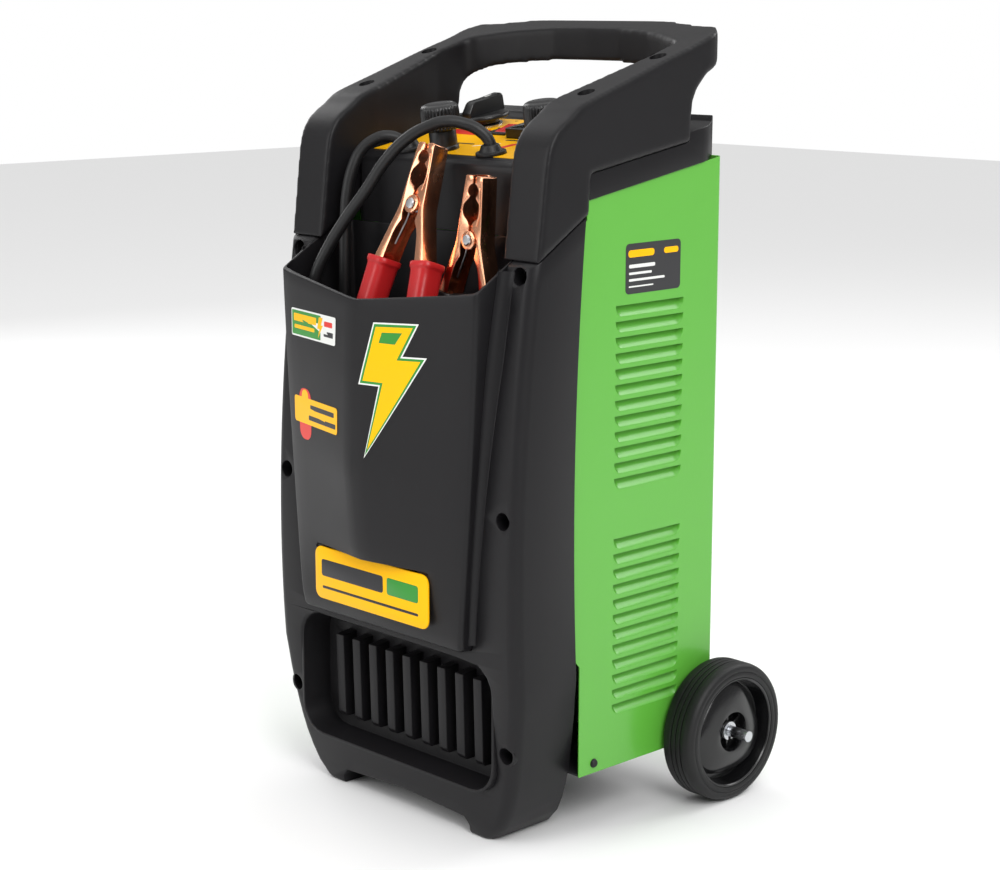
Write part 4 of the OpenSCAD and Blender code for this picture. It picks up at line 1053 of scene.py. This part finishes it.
def fluted_knob():
    rows, steps = [], 128
    profile = [(13.6, 18.5), (15.4, 18.45), (16.4, 19.1), (16.9, 20.4), (17.0, 24), (17.0, 33.5),
               (16.8, 36.0), (16.2, 37.8),
               (15.0, 39.2), (13.2, 40.1), (12.2, 40.35), (11.6, 39.9)]
    for r, z in profile:
        depth = 1.15 if 20 < z < 37 and r > 16.5 else (0.6 if r > 16 else 0.0)
        row = []
        for i in range(steps):
            a = math.tau * i / steps
            groove = (0.5 + 0.5 * math.cos(a * 32)) ** 1.6
            row.append(((r - depth * groove) * math.cos(a), (r - depth * groove) * math.sin(a), z))
        rows.append(row)
    knob = rings("knob", rows)
    cut(knob, turned("bore", [(0, 10), (5.05, 10), (5.05, 36), (0, 36)], 40))
    return smooth(knob, 50)


for name, body, (x, y) in (("terminal_knob_left", "knob_left", TERMINALS[0]),
                           ("terminal_knob_right", "knob_right", TERMINALS[1])):
    knob = dress(move(fluted_knob(), on_deck(x, y)), knob_plastic, body, stands_for=(name,))
    knob.name = name + "_cap"
    collar = turned("collar", [(5.15, 0.1), (12.6, 0.1), (13, 0.5), (13, 3.4), (12.6, 4), (12.1, 4.3),
                               (11.9, 16.5), (11.5, 17.6),
                               (10.6, 18.1), (5.15, 18.1)], 64)
    collar = dress(smooth(move(collar, on_deck(x, y))), knob_plastic)
    collar.name = "collar_" + body
    if body == "knob_left":
        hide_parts("terminal_collars")


def selector():
    disc = turned("disc", [(3.1, 0), (12.4, 0), (13, 0.6), (13, 4.6), (22.2, 4.8), (23, 5.6), (23, 7.6),
                           (22.4, 8.6), (21.4, 9.0),
                           (3.1, 9.0)], 96)
    cut(disc, turned("axis", [(0, -2), (3.06, -2), (3.06, 16), (0, 16)], 32))
    smooth(disc)
    fin = upright("fin", [(-5.6, 7.5), (5.6, 7.5), (4.9, 24.2), (-4.9, 24.2)], -22.3, 22.3)
    outline = [(-22.2, 7), (22.2, 7), (22.2, 19)] + arc(18.2, 19.9, 4, 10, 80, 4) + [(0, 22.4)] + arc(-11,
            13.2, 9, 95, 130, 5) + [(-22.2, 13)]
    keep = slab("keep", [(y + FLANGE, z) for y, z in outline], "X", -10, 10)
    cut(fin, keep, how="INTERSECT")
    cut(fin, turned("axis", [(0, -2), (3.06, -2), (3.06, 16), (0, 16)], 32))
    soften(fin, 1.6, 4)
    stripe = flat("stripe", [(-0.8, 4), (0.8, 4), (0.8, 19), (-0.8, 19)], 22.3, 23.3)
    stripe.data.materials.append(print_white)
    disc.data.materials.append(knob_plastic)
    fin.data.materials.append(knob_plastic)
    return disc, fin, stripe


disc, fin, stripe = selector()
place = on_deck(*SELECTOR, 2.6)
knob = dress(move(join(disc, fin), place), knob_plastic, "selector",
             stands_for=("selector_knob",))
knob.name = "selector_grip"
stripe = dress(move(stripe, place), print_white, "selector")
stripe.name = "selector_stripe"
ring = turned("ring", [(13.6, 0.5), (16.2, 0.5), (16.2, 1.4), (15.4, 2.1), (14.2, 2.1), (13.6, 1.4)], 72)
ring = dress(smooth(move(ring, on_deck(*SELECTOR))), zinc_steel)
ring.name = "selector_ring"


def meter_dial():
    """The printed face behind the window: an arc of ticks and a coloured band."""
    face = flat("meter_dial", rounded(49, 49, 1.8, 0, 0), 4.25, 4.6)
    face = dress(move(face, on_deck(*METER)), meter_face)
    ticks = []
    for k in range(21):
        a = math.radians(150 - 6 * k)
        inner = 31 if k % 5 else 28.5
        u, v = Vector((math.cos(a), math.sin(a))), Vector((-math.sin(a), math.cos(a)))
        base = Vector((0, -16))
        corners = [base + u * inner - v * 0.3, base + u * 34 - v * 0.3, base + u * 34 + v * 0.3,
                   base + u * inner + v * 0.3]
        ticks.append(flat("tick", [tuple(c) for c in corners], 4.6, 4.68))
    scale = dress(move(join(*ticks), on_deck(*METER)), print_dark)
    scale.name = "meter_scale"
    band = arc(0, -16, 36.4, 60, 30, 8) + arc(0, -16, 35, 30, 60, 8)
    band = dress(move(flat("meter_band", band, 4.6, 4.7), on_deck(*METER)), print_red)
    dress(move(flat("meter_bar", rounded(12, 3, 1.2, 0, -4), 4.6, 4.68), on_deck(*METER)),
          print_dark)


meter_dial()


# ---- wheels ----
def spun(obj, flip=1):
    """From the frame's origin, with +Z as its axis, out to the right (1) or left (-1) wheel."""
    turn = Matrix.Rotation(math.radians(90 * flip), 4, "Y")
    return move(obj, Matrix.Translation(at(flip * 155, AXLE_Y, AXLE_Z)) @ turn)


def build_tyre():
    r = 62.5
    profile = [(50.05, 0.8), (52, 0.1), (57.6, 0), (59.4, 0.7), (60.8, 1.9), (61.7, 3.4), (r - 0.35, 5)]
    for middle in (9.1, 14.4, 19.6, 24.9):
        profile += [(r - 0.1, middle - 2.15), (r, middle - 1.8), (r, middle + 1.8),
                    (r - 0.1, middle + 2.15), (r - 1.5, middle + 2.3),
                    (r - 1.5, middle + 2.9)]
    profile[-2:] = [(r - 0.35, 29)]
    profile += [(61.7, 30.6), (60.8, 32.1), (59.4, 33.3), (57.6, 34), (55.6, 33.8), (54.8, 33.1),
                (53.6, 33.6), (52, 33.9), (50.05, 33.2)]
    return smooth(turned("tyre", profile, 128), 35)


def lobe(r, a):
    """Radius of a rounded triangle at an angle."""
    return r * (1 + 0.085 * math.cos(3 * a))


def build_hub():
    rim_ring = turned("rim", [(50, 1.4), (50, 32.6), (49.4, 33), (48.2, 33), (47.4, 32.2), (46.4, 24),
                              (44.6, 19.5), (17.5, 19),
                              (17.5, 13), (44, 13), (46, 1.8), (49.2, 1.2)], 112)
    smooth(rim_ring, 35)
    steps, rows = 96, []
    dome = [(1.0, 17.5), (1.0, 22.0), (0.985, 23.6), (0.95, 25.1), (0.89, 26.5), (0.80, 27.9),
            (0.70, 29.1), (0.60, 30.0), (0.53, 30.6)]
    for share, z in dome:
        row = []
        for i in range(steps):
            a = math.tau * i / steps
            r = 42 * share
            blend = max(0.0, (share - 0.45) / 0.55)
            row.append((lobe(r, a + math.pi / 3) * math.cos(a) if blend else 0,
                        lobe(r, a + math.pi / 3) * math.sin(a), z))
        rows.append(row)
    for r, z in ((19.0, 30.9), (18.0, 30.6), (17.4, 29.6), (17.2, 19.6)):
        rows.append([(r * math.cos(math.tau * i / steps), r * math.sin(math.tau * i / steps),
                      z) for i in range(steps)])
    rows.append([(17.2 * math.cos(math.tau * i / steps), 17.2 * math.sin(math.tau * i / steps),
                  17.5) for i in range(steps)])
    rows.append(rows[0])
    cap = skin("cap", [[(x, y + FLANGE, z) for x, y, z in row] for row in rows], ring=True)
    smooth(cap, 38)
    boss = turned("boss", [(5.06, 2), (16, 2), (18, 13.5), (18, 19.4), (11.8, 19.6), (9.2, 20.2),
                           (8.6, 24.4), (7.9, 25), (5.06, 25)], 64)
    smooth(boss, 35)
    ribs = []
    for k in range(6):
        rib = flat("rib", [(8, -1), (17.4, -1), (17.4, 1), (8, 1)], 19, 23.4)
        ribs.append(move(rib, Matrix.Rotation(math.tau * k / 6, 4, "Z")))
    return join(rim_ring, cap, boss, *ribs)


tyre, hub = build_tyre(), build_hub()
for side, word in ((1, "right"), (-1, "left")):
    for part, nick, paint, slot_name in ((tyre, "tyre", tyre_rubber, "tyre_rubber"),
                                         (hub, "wheel", hub_plastic, "hub_plastic")):
        piece = spun(copy_of(part, f"{nick}_moulding_{word}"), side)
        dress(piece, paint, f"{word}_wheel", stands_for=(f"{nick}_{word}",))
bpy.data.objects.remove(tyre)
bpy.data.objects.remove(hub)


# ---- screws ----
def screw_head(r, h, cross=True):
    head = turned("head", [(0, 0), (r, 0), (r, h * 0.25), (r * 0.93, h * 0.6), (r * 0.72, h * 0.88),
                           (r * 0.4, h), (0, h)], 40)
    if cross:
        for turn in (0, 90):
            slot_cut = flat("slot", rounded(r * 1.15, r * 0.26, r * 0.1), h * 0.35, h * 2)
            cut(head, move(slot_cut, Matrix.Rotation(math.radians(turn), 4, "Z")))
    return soften(head, 0.12, 2, 50, clamp=True)


def facing_out(x, y, z, turn):
    return Matrix.Translation(at(x, y, z)) @ turn


front = Matrix.Rotation(math.radians(90), 4, "X")
heads = [move(screw_head(4.2, 3.0), facing_out(x, 51.9, z, front)) for x, z in screw_places()]
shell_heads = dress(join(*heads), zinc_steel, stands_for=("shell_screws",))
shell_heads.name = "shell_screw_heads"
heads = [move(screw_head(4.2, 2.8), Matrix.Translation(at(side * x, y, z - 9.9)))
         for side in (-1, 1) for x, y, z in ((137, 98, 626.6), (142, 178, 654.5))]
arm_heads = dress(join(*heads), zinc_steel, stands_for=("handle_screws",))
arm_heads.name = "arm_screw_heads"


# ---- clamps ----
CLAMPS = {"pos": ((10, 30, 531), 19, 0), "neg": ((69, 40, 507), 3, 5)}


def at_clamp(which):
    place, lean, roll = CLAMPS[which]
    return Matrix.Translation(at(*place)) @ Matrix.Rotation(math.radians(-lean), 4, "X") \
        @ Matrix.Rotation(math.radians(roll), 4, "Y")


JAW_OUT = blend_points([(9, 52), (11, 31.8), (13, 8), (14.2, -3), (20, -20), (34, -59)], 5)
JAW_IN = blend_points([(21, -59), (14, -26), (7.5, -14.5)],
                      3) + blend_points([(7.4, -13.6), (8.6, -6), (6.6, 1), (2.2, 5.2)], 4)
JAW_BITE = blend_points([(0.5, 7.5), (0.5, 11.5), (3.0, 15.5), (7.6, 19), (9.4, 24), (8.4, 29), (4.6, 33),
                         (2.6, 35.5), (4.8, 38), (5.2, 41.5),
                         (3.0, 45), (0.5, 46.2)], 3)


def half_outline(inset):
    """One half of a clamp from the front, on the right."""
    back = [(x - inset, z) for x, z in JAW_OUT]
    tip = [(0.5, 51.4), (1.6, 53), (7.6 - inset, 53)]
    return back + JAW_IN + JAW_BITE + tip


def jaw(width, ribbed):
    """A pressed channel: a back wall that follows the outline, and a cheek at each side."""
    body = upright("jaw", half_outline(0), -width / 2, width / 2)
    hollow = half_outline(1.35)[: len(JAW_OUT)] + [(-20, -70), (-20, 60)]
    cut(body, upright("hollow", hollow, 1.35 - width / 2, width / 2 - 1.35))
    soften(body, 0.55, 2, 38, clamp=True)
    ears = []
    for side in (-1, 1):
        y = side * (width / 2 - 0.68)
        ear = upright("ear", arc(0, 0, 7.8, 0, 351, 39), y - 0.68, y + 0.68)
        cut(ear, upright("pivot", arc(0, 0, 3.05, 0, 350, 35), y - 2, y + 2))
        ears.append(soften(ear, 0.3, 2, 38, clamp=True))
    if ribbed:
        for y in (-width / 2 - 0.02,):
            rib = upright("rib", blend_points([(7.6, 12), (10.2, 27), (7.2, 44)],
                                              4) + blend_points([(5.6, 44), (8.6, 27), (6.4, 12)], 4),
                                              y - 0.5, y + 0.3)
            ears.append(soften(rib, 0.35, 3, 30, clamp=True))
    return join(body, *ears)


def grip():
    """A dipped sleeve with a flared collar at its mouth."""
    rows = []
    for z, w, d, r in ((-75.5, 14, 16, 5), (-75, 18, 20.4, 6.5), (-73, 20.2, 23, 7), (-69, 21, 24, 7.2),
                       (-40, 20.4, 23.4, 7.2), (-14, 21, 24, 7.2),
                       (-7.5, 21.6, 24.4, 7.4), (-5.4, 23.2, 25, 7.6), (-4.6, 24.8, 25.9, 7.8),
                       (-3.6, 25, 26, 7.9), (-0.9, 25, 26, 7.9), (-0.2, 24.2, 25.2, 7.6),
                       (0, 23, 24.2, 7.4), (0, 18.4, 21, 5), (-1.0, 17.2, 20.6, 4.6), (-6, 16, 20.3, 4)):
        rows.append([(x, y, z) for x, y in rounded(w, d, r, 0, 0, 6)])
    body = rings("grip", rows)
    smooth(body, 50)
    tilt = Matrix.Translation(Vector((27, 0, -47)) * MM) @ Matrix.Rotation(math.radians(-6), 4, "Y")
    return move(body, tilt)


for which, paint, slot_name in (("pos", grip_red, "grip_red"), ("neg", grip_black, "grip_black")):
    here = at_clamp(which)
    for half, width in (("moving", 16.6), ("fixed", 20)):
        body = f"clamp_{which}_half" if half == "moving" else "case"
        channel, sleeve = jaw(width, half == "moving"), grip()
        if half == "fixed":
            for part in (channel, sleeve):
                for vertex in part.data.vertices:
                    vertex.co.x *= -1
                edit(part, face_out)
        channel = dress(move(channel, here), clamp_copper, body,
                        stands_for=(f"clamp_{which}_jaw_{half}",))
        channel.name = f"channel_{which}_{half}"
        sleeve = dress(move(sleeve, here), paint, body,
                       stands_for=(f"clamp_{which}_grip_{half}",))
        sleeve.name = f"sleeve_{which}_{half}"
    pin = [turned("pin", [(0, -12), (4.4, -12), (4.6, -11.4), (4.4, -10.4), (3, -10.2), (3, 10.2),
                          (4.4, 10.4), (4.6, 11.4), (3.6, 12.4), (0, 12.7)], 40)]
    pin = smooth(move(join(*pin), Matrix.Rotation(math.radians(90), 4, "X")), 40)
    pin = dress(move(pin, here), zinc_steel,
                stands_for=("clamp_rivets",) if which == "pos" else ())
    pin.name = f"rivet_{which}"
    turns = [(5.1 * math.cos(math.radians(i * 15)), i * 0.058,
              5.1 * math.sin(math.radians(i * 15))) for i in range(-60, 61)]
    hook = [(5.1 * math.cos(math.radians(i * 15)), 5.2, 5.1 * math.sin(math.radians(i * 15)))
            for i in range(10, 19)]
    for title, body, points in ((f"spring_{which}", "case", [(-16, -2.5, -34), (-8.0, -3.6, -14)] + turns),
                                (f"spring_leg_{which}", f"clamp_{which}_half",
                                 hook + [(8.0, 5.0, -14), (16, 4.2, -34)])):
        wire = bpy.data.curves.new(title, "CURVE")
        wire.dimensions, wire.bevel_depth, wire.bevel_resolution, wire.use_fill_caps = "3D", 0.8 * MM, 3, True
        line = wire.splines.new("POLY")
        line.points.add(len(points) - 1)
        for knot, p in zip(line.points, points):
            knot.co = (*(here @ (Vector(p) * MM)), 1)
        spring = bpy.data.objects.new(title, wire)
        bpy.context.scene.collection.objects.link(spring)
        dress(spring, spring_steel, body,
              stands_for=("clamp_springs",) if title == "spring_pos" else ())


# ---- pieces whose shape comes from the frame ----
def keep(nodes, material, width=0.5):
    """Gives frame nodes a finish and softened edges."""
    for name in nodes.split():
        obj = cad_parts[name]
        obj.data.materials.clear()
        obj.data.materials.append(material)
        weld = obj.modifiers.new("weld", "WELD")
        weld.merge_threshold = 1e-5
        flatten = obj.modifiers.new("flatten", "DECIMATE")
        flatten.decimate_type, flatten.angle_limit = "DISSOLVE", math.radians(0.5)
        bevel = obj.modifiers.new("bevel", "BEVEL")
        bevel.width, bevel.segments, bevel.limit_method = width * MM, 2, "ANGLE"
        bevel.angle_limit, bevel.use_clamp_overlap, bevel.harden_normals = math.radians(32), True, False


keep("rear_panel", green_paint, 0.4)
keep("base_plate", chassis_paint, 0.4)
keep("axle axle_clips reset_bezel transformer_frame", zinc_steel, 0.3)
keep("panel_screws", black_screw, 0.4)
keep("transformer_core", core_steel, 0.6)
keep("primary_winding secondary_winding", copper_wire, 1.2)
keep("rectifier_heatsink", raw_aluminium, 0.3)
keep("rectifier_diodes", brass, 0.4)
keep("terminal_studs", brass, 0.3)
keep("fan_frame fan_impeller", fan_plastic, 0.4)
keep("selector_switch", liner_plastic, 0.4)
keep("ammeter_body rocker_frame", knob_plastic, 0.8)
keep("ammeter_lens", meter_window, 0.3)
keep("ammeter_needle", needle_paint, 0.1)
keep("rocker", rocker_red, 0.7)
keep("reset_button", button_white, 0.5)
keep("cable_grommets mains_gland", cable_rubber, 0.6)

# ---- floor and light ----
def lamp(name, place, aim, size, power, colour=(1, 1, 1)):
    light = bpy.data.lights.new(name, "AREA")
    light.shape, light.size, light.size_y = "RECTANGLE", size[0], size[1]
    light.energy, light.color = power, colour
    obj = bpy.data.objects.new(name, light)
    obj.location = place
    obj.rotation_euler = (Vector(aim) - Vector(place)).to_track_quat("-Z", "Y").to_euler()
    bpy.context.scene.collection.objects.link(obj)
    return obj


deselect()
bpy.ops.mesh.primitive_plane_add(size=14, location=(0, 0, 0))
floor = bpy.context.object
floor.name = "floor"
pale = bpy.data.materials.new("pale floor")
pale.use_nodes = True
pale.node_tree.nodes["Principled BSDF"].inputs["Base Color"].default_value = (0.86, 0.86, 0.86, 1)
pale.node_tree.nodes["Principled BSDF"].inputs["Roughness"].default_value = 0.75
floor.data.materials.append(pale)
sky = bpy.data.worlds.new("studio")
bpy.context.scene.world = sky
sky.use_nodes = True
sky.node_tree.nodes["Background"].inputs["Color"].default_value = (1, 1, 1, 1)
rays = sky.node_tree.nodes.new("ShaderNodeLightPath")
glow = sky.node_tree.nodes.new("ShaderNodeMapRange")
glow.inputs["To Min"].default_value, glow.inputs["To Max"].default_value = 0.34, 1.0
sky.node_tree.links.new(rays.outputs["Is Camera Ray"], glow.inputs["Value"])
sky.node_tree.links.new(glow.outputs["Result"], sky.node_tree.nodes["Background"].inputs["Strength"])
lamp("key", (2.2, -1.0, 2.0), (0, 0, 0.3), (1.2, 1.6), 46)
lamp("front", (-1.0, -2.6, 1.4), (0, 0, 0.35), (1.6, 1.6), 26)
lamp("back", (0.6, 2.4, 1.9), (0, 0, 0.4), (1.6, 1.2), 26)
sun = bpy.data.lights.new("ceiling", "SUN")
sun.energy, sun.angle = 1.7, math.radians(100)
bpy.context.scene.collection.objects.link(bpy.data.objects.new("ceiling", sun))
lamp("left", (-2.4, 0.4, 1.4), (0, 0, 0.35), (1.2, 1.4), 16)

bpy.context.scene.view_settings.view_transform = "Standard"
